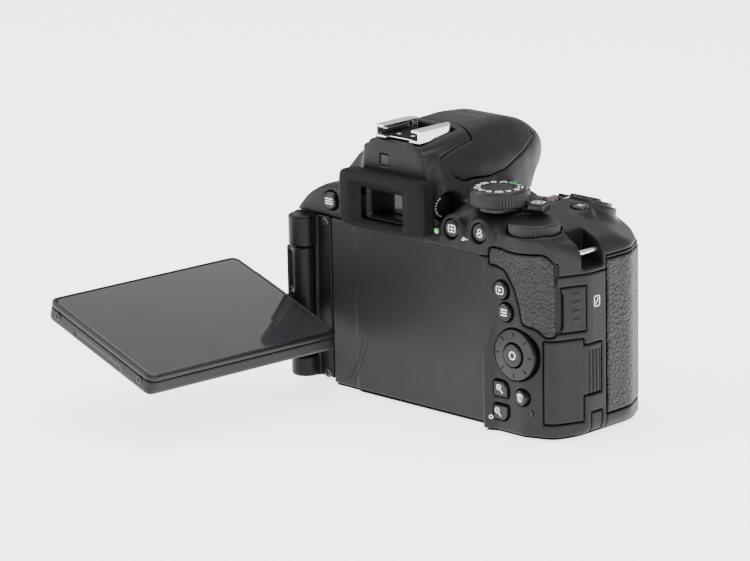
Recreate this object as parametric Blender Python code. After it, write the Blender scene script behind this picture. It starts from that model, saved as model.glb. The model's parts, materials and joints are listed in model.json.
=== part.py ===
"""A compact single-lens reflex camera body with its screen swung out, as separate pieces.

Lengths are in millimetres and meshes are written in metres. +X is right as seen from behind,
+Y points to the lens and +Z up. The origin is on the base, under the optical axis, at the
image plane.
"""

import math

import bmesh
import bpy
from mathutils import Matrix, Vector

MM = 0.001
GAP = 0.3  # clearance between pieces that touch
WALL = 2.0  # thickness of the moulded covers

# Optics
AXIS_Z = 37.5
FLANGE_Y = 46.5
THROAT_R = 22.0
FLANGE_R = 26.8
SCREEN_Z = 60.0  # focusing screen, as far from the mirror as the sensor is

# Outer body
LEFT, RIGHT = -52.2, 73.3
DECK_Z = 73.4
PANEL_Y = -18.0  # back of the control panel
LIP_Y = -20.0  # lower edge of the band above the screen bay
BAY_Y = -14.2  # wall behind the stowed screen
BAY_LEFT, BAY_RIGHT = -34.5, 41.5
BAY_TOP = 60.8
SIDE_SEAM_Z = 56.0
LID_Z = 60.5  # lower edge of the top cover
PAD_LEFT, PAD_RIGHT, PAD_TOP = 43.4, 68.3, 63.7  # where the rear cover rises behind the thumb pad
FRONT_SEAM_Y = 6.6
BASE_Z = 2.2

# Screen and its hinge
SWING_X, SWING_Y = -47.0, -15.0
HINGE_OFFSET = 2.9
TILT_Z = 29.5
SWUNG_BACK = math.radians(4.5)  # past square to the back
SCREEN_TILT = math.radians(16.8)
SCREEN_LONG, SCREEN_SHORT = 82.0, 58.4
SCREEN_LOW, SCREEN_HIGH = -4.5, 3.0  # its two faces, from the axis that it turns on
SCREEN_START = 6.2  # from the swing axis to the screen's near edge
LUG_DEPTH = 0.5  # of the step on that edge
PIN_R = 2.2  # of the pins that the arm and the screen turn on
KNUCKLE_R = 5.2
ARM_LOW, ARM_HIGH = 10.0, 48.6

# Pop-up flash
FLASH_PIVOT = (0.0, -2.0, 88.0)
FLASH_ARM_R = 8.8
HOUSING_HALF = 14.6

# Dials
MODE_AT, MODE_R = (39.0, -8.0), 9.7
COMMAND_AT, COMMAND_R = (56.0, -9.5), 8.6
COMMAND_TOP, COMMAND_RIM = 72.5, 68.7  # the wheel and the rim of its well
SHUTTER_AT, COLLAR_R = (47.0, 26.0, 71.5), 9.3
GRIP_SLOPE = math.radians(18.0)  # fall of the grip's top towards the front
MOVIE_AT = (44.8, 11.4)
COMPENSATION_AT = (55.6, 13.6)

# Controls on upright faces, as (x, z), pushed along Y
BAND_KEYS = {"menu_button": (-34.0, 66.3), "info_button": (27.2, 67.0), "exposure_lock_button": (39.6, 67.4)}
PANEL_KEYS = {"play_button": (48.9, 49.6), "quick_menu_button": (50.6, 42.3), "delete_button": (57.3, 14.2)}
KEY_R = {"menu_button": 3.1, "info_button": 3.2, "exposure_lock_button": 3.2, "play_button": 3.0,
         "quick_menu_button": 3.0, "delete_button": 2.6}
ZOOM_KEYS = {"zoom_in_button": (13.0, 18.3), "zoom_out_button": (5.0, 10.1)}  # from height to height
SELECTOR_AT, SELECTOR_R = (54.6, 28.4), 8.6
FLASH_KEY_AT = (-38.0, 65.0)
RELEASE_AT = (-38.0, 34.0)
LOCK_PIN_AT = (-24.4, AXIS_Z)

LATCH_TRAVEL = 2.0
LUG_AT, LUG_R = {"strap_lug_right": (69.6, 62.4), "strap_lug_left": (-49.5, 64.2)}, 0.9

# Inside
MIRROR_HINGE = (0.0, 9.0, 51.0)
SUB_HINGE = (0.0, 18.0, 39.6)
TRIPOD_AT = (0.0, 20.0)

BLACK = ((0.022, 0.022, 0.024), 0.55, 0.0)
RUBBER = ((0.018, 0.018, 0.019), 0.85, 0.0)
GLOSS = ((0.015, 0.015, 0.017), 0.25, 0.0)
STEEL = ((0.62, 0.62, 0.63), 0.3, 1.0)
GLASS = ((0.05, 0.05, 0.055), 0.05, 0.0)
INNER = ((0.06, 0.06, 0.065), 0.6, 0.0)
GREEN = ((0.03, 0.12, 0.06), 0.6, 0.0)
MIRROR = ((0.8, 0.8, 0.82), 0.05, 1.0)


# ---------------------------------------------------------------- shapes


def solid(bm):
    """A temporary object of this mesh, with its faces pointing out."""
    bmesh.ops.remove_doubles(bm, verts=bm.verts, dist=1e-7)
    bmesh.ops.recalc_face_normals(bm, faces=bm.faces)
    mesh = bpy.data.meshes.new("shape")
    bm.to_mesh(mesh)
    bm.free()
    obj = bpy.data.objects.new("shape", mesh)
    bpy.context.scene.collection.objects.link(obj)
    return obj


def loft(sections):
    """A solid through closed loops of equally many points, capped at both ends."""
    bm = bmesh.new()
    loops = [[bm.verts.new(Vector(p) * MM) for p in loop] for loop in sections]
    count = len(loops[0])
    for low, high in zip(loops, loops[1:]):
        for i in range(count):
            j = (i + 1) % count
            bm.faces.new((low[i], low[j], high[j], high[i]))
    bm.faces.new(loops[0][::-1])
    bm.faces.new(loops[-1])
    return solid(bm)


def place(axis, a, b, h):
    """The point with plane coordinates a, b and height h along axis X, Y or Z."""
    return {"X": (h, a, b), "Y": (a, h, b), "Z": (a, b, h)}[axis]


def prism(outline, axis, low, high):
    """An outline extruded along an axis: (y, z) for X, (x, z) for Y, (x, y) for Z."""
    return loft([[place(axis, a, b, h) for a, b in outline] for h in (low, high)])


def fillet(corners, steps=4):
    """An outline from (a, b) or (a, b, radius) corners, its corners rounded by arcs."""
    out = []
    count = len(corners)
    for i, corner in enumerate(corners):
        here = Vector(corner[:2])
        radius = corner[2] if len(corner) > 2 else 0.0
        if radius <= 0:
            out.append(tuple(here))
            continue
        before = (Vector(corners[i - 1][:2]) - here).normalized()
        after = (Vector(corners[(i + 1) % count][:2]) - here).normalized()
        half = before.angle(after) / 2
        centre = here + (before + after).normalized() * (radius / math.sin(half))
        start = here + before * (radius / math.tan(half)) - centre
        end = here + after * (radius / math.tan(half)) - centre
        turn = start.angle_signed(end)
        for k in range(steps + 1):
            spot = centre + Matrix.Rotation(-turn * k / steps, 2) @ start
            out.append(tuple(spot))
    return out


def outline(corners, margin=0.0, steps=4):
    """A filleted counter-clockwise outline, moved inwards by a margin."""
    moved = []
    count = len(corners)
    for i, corner in enumerate(corners):
        here = Vector(corner[:2])
        first = (here - Vector(corners[i - 1][:2])).normalized()
        second = (Vector(corners[(i + 1) % count][:2]) - here).normalized()
        normal = Vector((-first.y - second.y, first.x + second.x)).normalized()
        lean = max(0.4, normal.dot(Vector((-first.y, first.x))))
        spot = here + normal * (margin / lean)
        radius = corner[2] if len(corner) > 2 else 0.0
        turns_left = first.x * second.y - first.y * second.x > 0
        moved.append((*spot, max(0.0, radius - margin if turns_left else radius + margin) if radius else 0.0))
    return fillet(moved, steps)


def disc(centre, radius, steps=24):
    turns = [2 * math.pi * i / steps for i in range(steps)]
    return [(centre[0] + radius * math.cos(t), centre[1] + radius * math.sin(t)) for t in turns]


def box(low, high, radius=0.0, axis="Z"):
    """A box between two corners, its edges along one axis rounded."""
    a, b, h = {"X": (1, 2, 0), "Y": (0, 2, 1), "Z": (0, 1, 2)}[axis]
    corners = [(low[a], low[b]), (high[a], low[b]), (high[a], high[b]), (low[a], high[b])]
    outline = fillet([(*c, radius) for c in corners], 3)
    return prism(outline, axis, low[h], high[h])


def cylinder(centre, radius, axis, low, high, steps=24):
    return prism(disc(centre, radius, steps), axis, low, high)


def turned(profile, centre, axis, steps=24):
    """(radius, height) rings about an axis through the centre, capped at both ends."""
    loops = []
    for radius, height in profile:
        loops.append([place(axis, a, b, height) for a, b in disc(centre, radius, steps)])
    return loft(loops)


def knurled(centre, radius, depth, axis, low, high, teeth):
    """A wheel whose rim has fine ridges, with its top edge broken."""
    loops = []
    for shrink, height in ((0.0, low), (0.0, high - 0.5), (0.5, high)):
        ring = []
        for i in range(2 * teeth):
            t = math.pi * i / teeth
            r = radius - shrink - (depth if i % 2 else 0.0)
            ring.append(place(axis, centre[0] + r * math.cos(t), centre[1] + r * math.sin(t), height))
        loops.append(ring)
    return loft(loops)


def combine(base, tool, operation):
    """The Boolean of two temporary solids. The tool is used up."""
    modifier = base.modifiers.new("combine", "BOOLEAN")
    modifier.object = tool
    modifier.operation = operation
    modifier.solver = "EXACT"
    graph = bpy.context.evaluated_depsgraph_get()
    mesh = bpy.data.meshes.new_from_object(base.evaluated_get(graph))
    base.modifiers.clear()
    base.data = mesh
    bpy.data.objects.remove(tool)
    return base


def cut(base, *tools):
    for tool in tools:
        combine(base, tool, "DIFFERENCE")
    return base


def join(base, *tools):
    for tool in tools:
        combine(base, tool, "UNION")
    return base


def common(base, *tools):
    for tool in tools:
        combine(base, tool, "INTERSECT")
    return base


def turn_about(obj, point, axis, angle):
    """Turns a temporary solid's mesh about a line."""
    spot = Vector(point) * MM
    spin = Matrix.Translation(spot) @ Matrix.Rotation(angle, 4, Vector(axis))
    obj.data.transform(spin @ Matrix.Translation(-spot))
    return obj


def piece(name, obj, look, origin=(0, 0, 0)):
    """Names a finished solid, gives it its material and puts its origin on its joint."""
    colour, roughness, metallic = look
    material = bpy.data.materials.new(name)
    material.use_nodes = True
    shader = material.node_tree.nodes["Principled BSDF"]
    shader.inputs["Base Color"].default_value = (*colour, 1.0)
    shader.inputs["Roughness"].default_value = roughness
    shader.inputs["Metallic"].default_value = metallic
    obj.name = name
    mesh = obj.data
    mesh.name = name
    mesh.materials.clear()
    mesh.materials.append(material)
    mesh.transform(Matrix.Translation(-Vector(origin) * MM))
    obj.location = Vector(origin) * MM
    tidy = bmesh.new()
    tidy.from_mesh(mesh)
    bmesh.ops.remove_doubles(tidy, verts=tidy.verts, dist=2e-6)
    bmesh.ops.dissolve_degenerate(tidy, dist=1e-6, edges=tidy.edges)
    bmesh.ops.recalc_face_normals(tidy, faces=tidy.faces)
    tidy.to_mesh(mesh)
    tidy.free()
    mesh.shade_smooth()
    mesh.set_sharp_from_angle(angle=math.radians(35))
    return obj


# ---------------------------------------------------------------- outer form


def plan_outline(margin):
    """The body from above, without the mount housing and the hump."""
    corners = [
        (LEFT, -14.0, 1.5), (-23.0, -14.0), (-21.0, LIP_Y), (42.5, LIP_Y), (46.0, PANEL_Y),
        (58.0, PANEL_Y, 9.0), (68.0, -14.2, 7.0), (RIGHT, -2.0, 12.0),
        (RIGHT, 18.5, 14.0), (67.3, 29.8, 16.0), (57.3, 38.0, 12.0), (47.5, 40.2, 8.0),
        (38.0, 38.6, 7.0), (33.8, 27.0, 9.0), (31.5, 17.0, 3.0), (LEFT, 17.0, 9.0),
    ]
    return outline(corners, margin)


def back_outline(margin):
    """The body from behind: base, rounded shoulders and the sloping deck."""
    corners = [
        (LEFT, 0.0, 2.0), (70.0, 0.0, 4.0), (RIGHT, 3.4, 3.0), (RIGHT, 61.0, 6.0), (70.0, 66.0, 8.0),
        (59.0, 70.9, 20.0), (50.0, DECK_Z, 10.0), (-26.0, DECK_Z, 20.0), (-39.0, 71.2, 14.0),
        (-47.5, 67.6, 7.0), (LEFT, 60.5, 6.0),
    ]
    return outline(corners, margin)


def side_outline(margin):
    """The body from the side: sloping band at the back, falling grip top in front."""
    corners = [
        (-24.0, 0.0), (31.0, 0.0, 8.0), (44.0, 9.0), (44.0, 55.0), (39.4, 65.4, 5.0), (36.0, 67.1, 5.0),
        (8.0, 76.1), (-6.0, 76.0), (-13.0, 71.4, 3.0), (-17.4, 67.4, 3.0), (LIP_Y, 62.0), (-24.0, 55.0),
    ]
    return outline(corners, margin)


def hump_section(y, top, crown, shoulder, foot, floor, margin):
    """One section of the viewfinder hump, from half its widths at the crown, shoulder and foot."""
    crown, shoulder, foot = crown - margin, shoulder - margin, foot - margin
    top -= margin
    floor += margin
    tall = top - floor
    right = [(foot, floor), ((foot + shoulder) / 2 + 0.3, floor + 0.42 * tall), (shoulder, floor + 0.6 * tall),
             (shoulder - 0.7, floor + 0.76 * tall), ((shoulder + crown) / 2 + 0.6, floor + 0.92 * tall),
             (crown, top - 0.3), (crown / 2, top)]
    left = [(-x, z) for x, z in reversed(right)]
    return [(x, y, z) for x, z in right + left]


def hump(margin):
    """Rows of y, top height, half widths at the crown, shoulder and foot, and height of the underside."""
    rows = [
        (-17.8 + margin, 93.2, 11.5, 14.8, 17.5, 58.0), (-8.0, 95.6, 12.0, 17.6, 21.0, 58.0),
        (4.0, 97.0, 12.5, 19.8, 23.0, 58.0), (16.0, 97.4, 12.5, 19.9, 24.0, 58.0),
        (27.0, 95.8, 12.0, 18.6, 23.0, 60.0), (35.0, 93.0, 11.5, 15.8, 15.6, 75.4),
        (40.5, 90.2, 9.0, 12.2, 11.4, 78.2), (44.6 - margin, 87.0 + margin * 0.5, 6.0, 8.0, 6.6, 80.6),
    ]
    return loft([hump_section(*row, margin) for row in rows])


def mount_housing(margin):
    """The raised block that carries the lens mount."""
    drum = cylinder((0, AXIS_Z), 29.4 - margin, "Y", 8.0 + margin, 43.2 - margin, 40)
    foot = box((-25.0 + margin, 8.0 + margin, 2.7 + margin), (25.0 - margin, 41.5 - margin, AXIS_Z), 5.0, "Y")
    neck = box((-17.0 + margin, 8.0 + margin, AXIS_Z), (17.0 - margin, 33.0 - margin, 76.6 - margin), 4.0, "Y")
    return join(drum, foot, neck)


def screen_bay(margin):
    """The recess at the back that the screen folds into."""
    return box((-70, -40, -10), (BAY_RIGHT + margin, BAY_Y + margin, BAY_TOP + margin))


def hinge_bay(margin):
    """The corner that the screen's hinge mount fills."""
    return box((-70, -40, -10), (BAY_LEFT + margin, -5.3 + margin, BAY_TOP + margin))


def body(margin=0.0):
    main = prism(plan_outline(margin), "Z", -5.0, 90.0)
    common(main, prism(back_outline(margin), "Y", -40.0, 60.0))
    common(main, prism(side_outline(margin), "X", -70.0, 90.0))
    join(main, mount_housing(margin), hump(margin))
    return cut(main, screen_bay(margin), hinge_bay(margin))


def shell(*regions):
    """The moulded wall of the body inside the regions."""
    return cut(common(body(), *regions), body(WALL))


def skin(region, depth):
    """The outer layer of the body inside a region, for a cover, pad or door."""
    return cut(common(body(), region), body(depth))


def recess(region, depth):
    """The space that a pad of this depth needs in a cover, reaching past the surface."""
    return cut(common(body(-1.0), region), body(depth))


def pocket(cover, low, high, radius=1.0, axis="Y", wall=1.4):
    """A walled box-shaped recess in a cover."""
    grown_low = [v - wall for v in low]
    grown_high = [v + wall for v in high]
    join(cover, common(box(grown_low, grown_high, radius, axis), body(0.4)))
    return cut(cover, box(low, high, radius, axis))


def round_pocket(cover, centre, radius, axis, low, high, wall=1.2, steps=24):
    """A walled round recess in a cover."""
    join(cover, common(cylinder(centre, radius + wall, axis, low - wall, high + wall, steps), body(0.4)))
    return cut(cover, cylinder(centre, radius, axis, low, high, steps))


# ---------------------------------------------------------------- regions of the covers


def flash_seam(offset):
    """Under the line where the flash head rests, moved down by an offset."""
    o = offset
    points = [(-60, -20), (60, -20), (60, 90.0 - o), (41.6, 89.2 - o), (16.0, 80.0 - o), (8.0, 79.0 - o)]
    radius = FLASH_ARM_R + o
    for degrees in range(-75, -256, -15):
        t = math.radians(degrees)
        points.append((FLASH_PIVOT[1] + radius * math.cos(t), FLASH_PIVOT[2] + radius * math.sin(t)))
    points.append((-60, 100.0))
    return points


def below_flash():
    """All that stays when the flash head lifts, with the housing that it folds over."""
    under = prism(flash_seam(GAP), "X", -80.0, 90.0)
    housing = box((-HOUSING_HALF, -30.0, 40.0), (HOUSING_HALF, 4.9, 93.0))
    roof = [(4.0, 60.0), (24.0, 60.0), (24.0, 80.0), (20.0, 84.0), (4.8, 91.0), (4.0, 91.0)]
    return join(under, housing, prism(roof, "X", 1.0 - HOUSING_HALF, HOUSING_HALF - 1.0))


def lid_region():
    """The top cover's space: above the bay, higher over the thumb pad, lower at the side."""
    region = box((-70, -40, LID_Z), (90, 60, 120))
    join(region, box((PAD_RIGHT + GAP, -30, SIDE_SEAM_Z), (90, FRONT_SEAM_Y, LID_Z + 1.5)))
    cut(region, box((PAD_LEFT, -40, 50.0), (PAD_RIGHT + GAP, -6.0, PAD_TOP + GAP)))
    return cut(region, box((-31.0, 21.0 - GAP, 50.0), (31.0, 60.0, 70.0 + GAP)))


def thumb_outline(margin):
    """The thumb pad from behind, going round the keys and the selector."""
    corners = [
        (44.8, 57.6, 1.0), (50.2, 56.4, 3.0), (54.2, 51.0, 6.0), (56.4, 44.5, 4.0), (57.6, 39.2, 2.0),
        (62.4, 37.8, 3.0), (65.4, 35.4, 1.0), (67.9, 35.4, 1.0), (67.9, 63.2, 3.0), (44.8, 63.2, 0.6),
    ]
    return outline(corners, -margin, 3)


def thumb_region(margin):
    return prism(thumb_outline(margin), "Y", -40.0, 0.0)


def grip_region(margin):
    return box((33.9 - margin, 6.9 - margin, 6.2 - margin), (90, 60, 59.0 + margin))


def card_door_region(margin):
    m = margin
    region = box((64.4 - m, -30, 5.6 - m), (90, m - 3.6, 34.2 + m))
    return join(region, box((66.0, -5.0, 14.5 - m), (90, 4.3 + m, 32.0 + m)))


def hdmi_region(margin):
    m = margin
    return box((68.7 - m, -14.0, 36.6 - m), (90, -2.6 + m, 52.2 + m))


def terminal_region(margin):
    m = margin
    return box((-90, -3.4 - m, 14.0 - m), (LEFT + 3.0, 5.6 + m, 51.0 + m))


def flap_region(margin):
    m = margin
    return box((68.0, -1.0 - m, BASE_Z + 2 * GAP - m), (90, 4.4 + m, 8.4 + m))


# ---------------------------------------------------------------- covers


def make_top_cover():
    cover = shell(lid_region(), below_flash())
    join(cover, cylinder(COMMAND_AT, COMMAND_R + 1.4, "Z", 66.0, COMMAND_RIM, 32))
    round_pocket(cover, COMMAND_AT, COMMAND_R + 0.5, "Z", 66.8, 90.0, steps=32)
    cut(cover, cylinder(COMMAND_AT, 1.5, "Z", 60.0, 70.0, 16))
    cut(cover, cylinder(MODE_AT, 3.3, "Z", 60.0, 90.0, 20))
    x, y, z = SHUTTER_AT
    floor = cylinder((x, y), COLLAR_R + 1.4, "Z", z - 4.2, z - 1.9, 32)
    join(cover, common(turn_about(floor, SHUTTER_AT, (1, 0, 0), -GRIP_SLOPE), body(0.4)))
    well = cylinder((x, y), COLLAR_R + 0.4, "Z", z - 2.2, z + 9.0, 32)
    stem = cylinder((x, y), 2.7, "Z", z - 9.0, z + 9.0, 20)
    for tool in (well, stem):
        cut(cover, turn_about(tool, SHUTTER_AT, (1, 0, 0), -GRIP_SLOPE))
    cut(cover, cylinder(MOVIE_AT, 2.9, "Z", 60.0, 90.0, 16))
    cut(cover, cylinder(COMPENSATION_AT, 3.3, "Z", 60.0, 90.0, 16))
    for name, centre in BAND_KEYS.items():
        cut(cover, cylinder(centre, KEY_R[name] + GAP, "Y", -40.0, -8.0, 20))
    pocket(cover, (14.7, -30.0, 66.2), (20.6, -7.8, 77.8), 1.2, "X")
    cut(cover, box((-22.0, -40, 58.0), (22.0, -17.9, 90.0)))
    cut(cover, box((-13.0, -40, 65.2), (13.0, -6.0, 76.8), 1.2, "Y"))
    cut(cover, box((-6.0, -30, 83.6), (-1.6, -14.0, 87.8)))
    pocket(cover, (64.5, -2.5, 57.6), (90.0, 5.4, 69.6), 1.5, "X", 1.0)
    pocket(cover, (-70.0, -2.5, 61.9), (LEFT + 5.0, 5.4, 66.4), 1.0, "X", 1.0)
    for centre in LUG_AT.values():
        cut(cover, cylinder(centre, LUG_R + 0.2, "Y", -3.1, 6.0, 12))
    cut(cover, box((-10.8, -16.2, 92.2), (10.8, 3.0, 96.0)))
    cut(cover, cylinder(FLASH_KEY_AT, 2.8, "Y", 8.0, 60.0, 16))
    return piece("top_cover", cover, BLACK)


def make_rear_cover():
    region = box((-70, -40, BASE_Z + GAP), (90, FRONT_SEAM_Y - GAP / 2, LID_Z - GAP))
    cut(region, box((PAD_RIGHT, -40, SIDE_SEAM_Z - GAP), (90, 60, 90)))
    join(region, box((PAD_LEFT + GAP, -40, 50.0), (PAD_RIGHT, -6.0 - GAP, PAD_TOP)))
    cover = shell(region)
    cut(cover, recess(thumb_region(GAP), 1.5))
    for door in (card_door_region(GAP), hdmi_region(GAP), terminal_region(GAP), flap_region(GAP)):
        cut(cover, common(door, body(-1.0)))
    for name, centre in PANEL_KEYS.items():
        cut(cover, cylinder(centre, KEY_R[name] + GAP, "Y", -40.0, -10.0, 20))
    round_pocket(cover, SELECTOR_AT, SELECTOR_R + GAP, "Y", -30.0, -14.4, 0.5, 32)
    for low, high in ZOOM_KEYS.values():
        cut(cover, prism(zoom_outline(low, high, -GAP), "Y", -40, -10))
    return piece("rear_cover", cover, BLACK)


def make_front_cover():
    region = box((-70, FRONT_SEAM_Y + GAP / 2, BASE_Z + GAP), (90, 60, LID_Z - GAP))
    join(region, box((-31.0 + GAP, 21.0, 50.0), (31.0 - GAP, 60.0, 70.0)))
    cover = shell(region)
    cut(cover, recess(grip_region(GAP), 1.4))
    cut(cover, cylinder((0, AXIS_Z), 23.4, "Y", 30.0, 60.0, 40))
    cut(cover, cylinder(RELEASE_AT, 5.3, "Y", 10.0, 60.0, 24))
    cut(cover, cylinder(LOCK_PIN_AT, 1.5, "Y", 36.0, 60.0, 12), cylinder(TRIPOD_AT, 7.3, "Z", -5, 12, 24))
    return piece("front_cover", cover, BLACK)


def make_base_cover():
    cover = common(body(), box((-70, -40, -5), (90, 60, BASE_Z)))
    cut(cover, cylinder(TRIPOD_AT, 7.3, "Z", -5, 10, 24))
    cut(cover, box((46.0 - GAP, -7.5 - GAP, -5), (64.0 + GAP, 27.6 + GAP, 10), 2.0))
    cut(cover, box((42.2 - GAP - LATCH_TRAVEL, 9.0 - GAP, -5), (45.2 + GAP, 16.0 + GAP, 10)))
    return piece("base_cover", cover, BLACK)


def make_rubber():
    piece("grip_rubber", skin(grip_region(0.0), 1.1), RUBBER)
    piece("thumb_rubber", skin(thumb_region(0.0), 1.2), RUBBER)


def make_doors():
    piece("card_door", skin(card_door_region(0.0), 1.5), BLACK, (64.9, -16.2, 20.0))
    piece("hdmi_cover", skin(hdmi_region(0.0), 1.6), RUBBER, (RIGHT, -2.7, 44.0))
    piece("terminal_cover", skin(terminal_region(0.0), 1.5), RUBBER, (LEFT, 5.5, 32.0))
    piece("power_cable_flap", skin(flap_region(-0.1), 1.0), RUBBER, (RIGHT, -0.9, 5.0))
    door = box((46.0, -7.5, 0.3), (64.0, 27.6, 1.9), 1.8)
    piece("battery_door", door, BLACK, (46.2, 12.0, 0.4))
    latch = join(box((42.2, 9.0, 0.4), (45.2, 16.0, 1.6)), box((41.0, 9.6, 2.6), (45.0, 15.4, 3.4)),
                 box((42.6, 11.0, 1.2), (44.4, 14.0, 3.0)))
    piece("battery_latch", latch, BLACK)


# ---------------------------------------------------------------- screen and hinge


def make_hinge_mount():
    """Two knuckles on a strip that closes the corner beside the screen bay."""
    low, high = BASE_Z + GAP, LID_Z - GAP
    mount = box((LEFT, -14.0, low), (BAY_LEFT - GAP, -5.6, high))
    for bottom, top in ((low, ARM_LOW - GAP), (ARM_HIGH + GAP, high)):
        join(mount, cylinder((SWING_X, SWING_Y), KNUCKLE_R, "Z", bottom, top, 28))
    cut(mount, box((-70, -40, ARM_LOW - GAP), (-42.3, -7.2, ARM_HIGH + GAP)))
    cut(mount, box((-40.6, -12.2, -5), (-30.0, 0.0, 90)))
    for bottom, top in ((4.5, 12.0), (45.0, 54.0)):
        cut(mount, cylinder((SWING_X, SWING_Y), PIN_R + 0.2, "Z", bottom, top, 20))
    return piece("hinge_mount", mount, BLACK)


def make_hinge_arm():
    """The bar between the knuckles. It is drawn square to the axes, then swung back."""
    x, y = SWING_X, SWING_Y
    arm = box((x - 5.85, y - 3.3, ARM_LOW), (x + 0.05, y + 4.2, ARM_HIGH), 0.8)
    join(arm, cylinder((x, y), 4.0, "Z", ARM_LOW, ARM_HIGH, 28))
    join(arm, cylinder((x, y), PIN_R, "Z", 5.0, 53.5, 20))
    cut(arm, cylinder((x - HINGE_OFFSET, TILT_Z), PIN_R + 0.2, "Y", y - 10, y + 10, 20))
    turn_about(arm, (x, y, 0), (0, 0, 1), -SWUNG_BACK)
    return piece("hinge_arm", arm, BLACK, (x, y, TILT_Z))


def screen_frame_matrix():
    """From the panel's own axes (length, width, thickness) to the camera's, at rest."""
    along = Vector((-math.sin(SWUNG_BACK), -math.cos(SWUNG_BACK), 0))
    across = Vector((math.cos(SWUNG_BACK), -math.sin(SWUNG_BACK), 0))
    normal = across * math.sin(SCREEN_TILT) + Vector((0, 0, 1)) * math.cos(SCREEN_TILT)
    width = normal.cross(along)
    turn = Matrix((along, width, normal)).transposed().to_4x4()
    start = Vector((SWING_X, SWING_Y, TILT_Z)) - across * HINGE_OFFSET
    return Matrix.Translation(start * MM) @ turn, tuple(start)


def make_screen():
    matrix, start = screen_frame_matrix()
    near, far = SCREEN_START, SCREEN_START + SCREEN_LONG
    half, low, high = SCREEN_SHORT / 2, SCREEN_LOW, SCREEN_HIGH
    shell_part = box((near, -half, low), (far, half, 0.6), 3.0)
    join(shell_part, box((near - LUG_DEPTH, -18.0, -2.9), (near + 4.0, 18.0, 0.5), 1.0))
    cut(shell_part, box((near + 1.4, -half + 1.3, low + 1.2), (far - 1.3, half - 1.3, 5.0), 2.0))
    join(shell_part, cylinder((0.0, 0.0), PIN_R, "X", -3.8, near + 0.8, 20))
    cut(shell_part, box((far - 0.8, -14.0, low - 1.0), (far + 1.0, 14.0, low + 1.6)))
    frame_part = box((near, -half, 0.6 + GAP), (far, half, high), 3.0)
    join(frame_part, box((near - LUG_DEPTH, -18.0, 0.6 + GAP), (near + 4.0, 18.0, high - 0.6), 1.0))
    cut(frame_part, cylinder((0.0, 0.0), PIN_R + GAP, "X", -5.0, near + 1.1, 20))
    cut(frame_part, box((far - 1.5 - 79.2, -half + 1.5, -5.0), (far - 1.5, half - 1.5, 5.0), 2.0))
    glass = box((far - 1.8 - 78.6, -half + 1.8, 0.9), (far - 1.8, half - 1.8, high - 0.15), 1.7)
    for name, part, look in (("screen_shell", shell_part, BLACK), ("screen_frame", frame_part, BLACK),
                             ("screen_glass", glass, GLASS)):
        part.data.transform(matrix)
        piece(name, part, look, start)


# ---------------------------------------------------------------- controls


def make_keys():
    for name, (x, z) in BAND_KEYS.items():
        back = {"menu_button": -15.2, "info_button": -18.6, "exposure_lock_button": -18.4}[name]
        piece(name, key((x, z), KEY_R[name], back, back + 6.0), GLOSS)
    for name, (x, z) in PANEL_KEYS.items():
        piece(name, key((x, z), KEY_R[name], PANEL_Y - 1.0, PANEL_Y + 4.0), GLOSS)
    for name, (low, high) in ZOOM_KEYS.items():
        piece(name, prism(zoom_outline(low, high, 0.0), "Y", PANEL_Y - 0.9, PANEL_Y + 3.5), GLOSS)
    piece("flash_button", turned([(2.5, 10.5), (2.5, 17.8), (2.1, 18.2)], FLASH_KEY_AT, "Y", 20), GLOSS)
    piece("movie_button", turned([(2.6, 69.5), (2.6, 74.2), (2.1, 74.7)], MOVIE_AT, "Z", 20), GLOSS)
    compensation = turned([(3.0, 68.0), (3.0, 73.2), (2.5, 73.7)], COMPENSATION_AT, "Z", 20)
    piece("compensation_button", compensation, GLOSS)


def key(centre, radius, back, front):
    """A round key with a broken edge, its face to the back."""
    return turned([(radius - 0.4, back), (radius, back + 0.4), (radius, front)], centre, "Y", 24)


def zoom_outline(low, high, margin):
    left, right = 45.4, 51.4
    upper = high > 15
    corners = [(left, low, 0.6), (right, low, 0.4 if upper else 2.6), (right, high, 2.6 if upper else 0.4),
               (left, high, 0.6)]
    return outline(corners, margin, 3)


def make_selector():
    """A tilting ring on a gimbal, with the confirm key through its middle."""
    gimbal = cylinder(SELECTOR_AT, 6.5, "Y", -15.5, -14.8, 24)
    ring = turned([(SELECTOR_R - 0.6, -19.2), (SELECTOR_R, -18.7), (SELECTOR_R, -16.5)], SELECTOR_AT, "Y", 36)
    cut(ring, cylinder(SELECTOR_AT, 4.3, "Y", -30, 0, 24))
    x, z = SELECTOR_AT
    piece("selector_gimbal", gimbal, INNER, (x, -15.2, z))
    piece("multi_selector", ring, GLOSS, (x, -16.5, z))
    piece("ok_button", turned([(3.5, -19.6), (3.9, -19.2), (3.9, -16.6)], SELECTOR_AT, "Y", 24), GLOSS)


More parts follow.
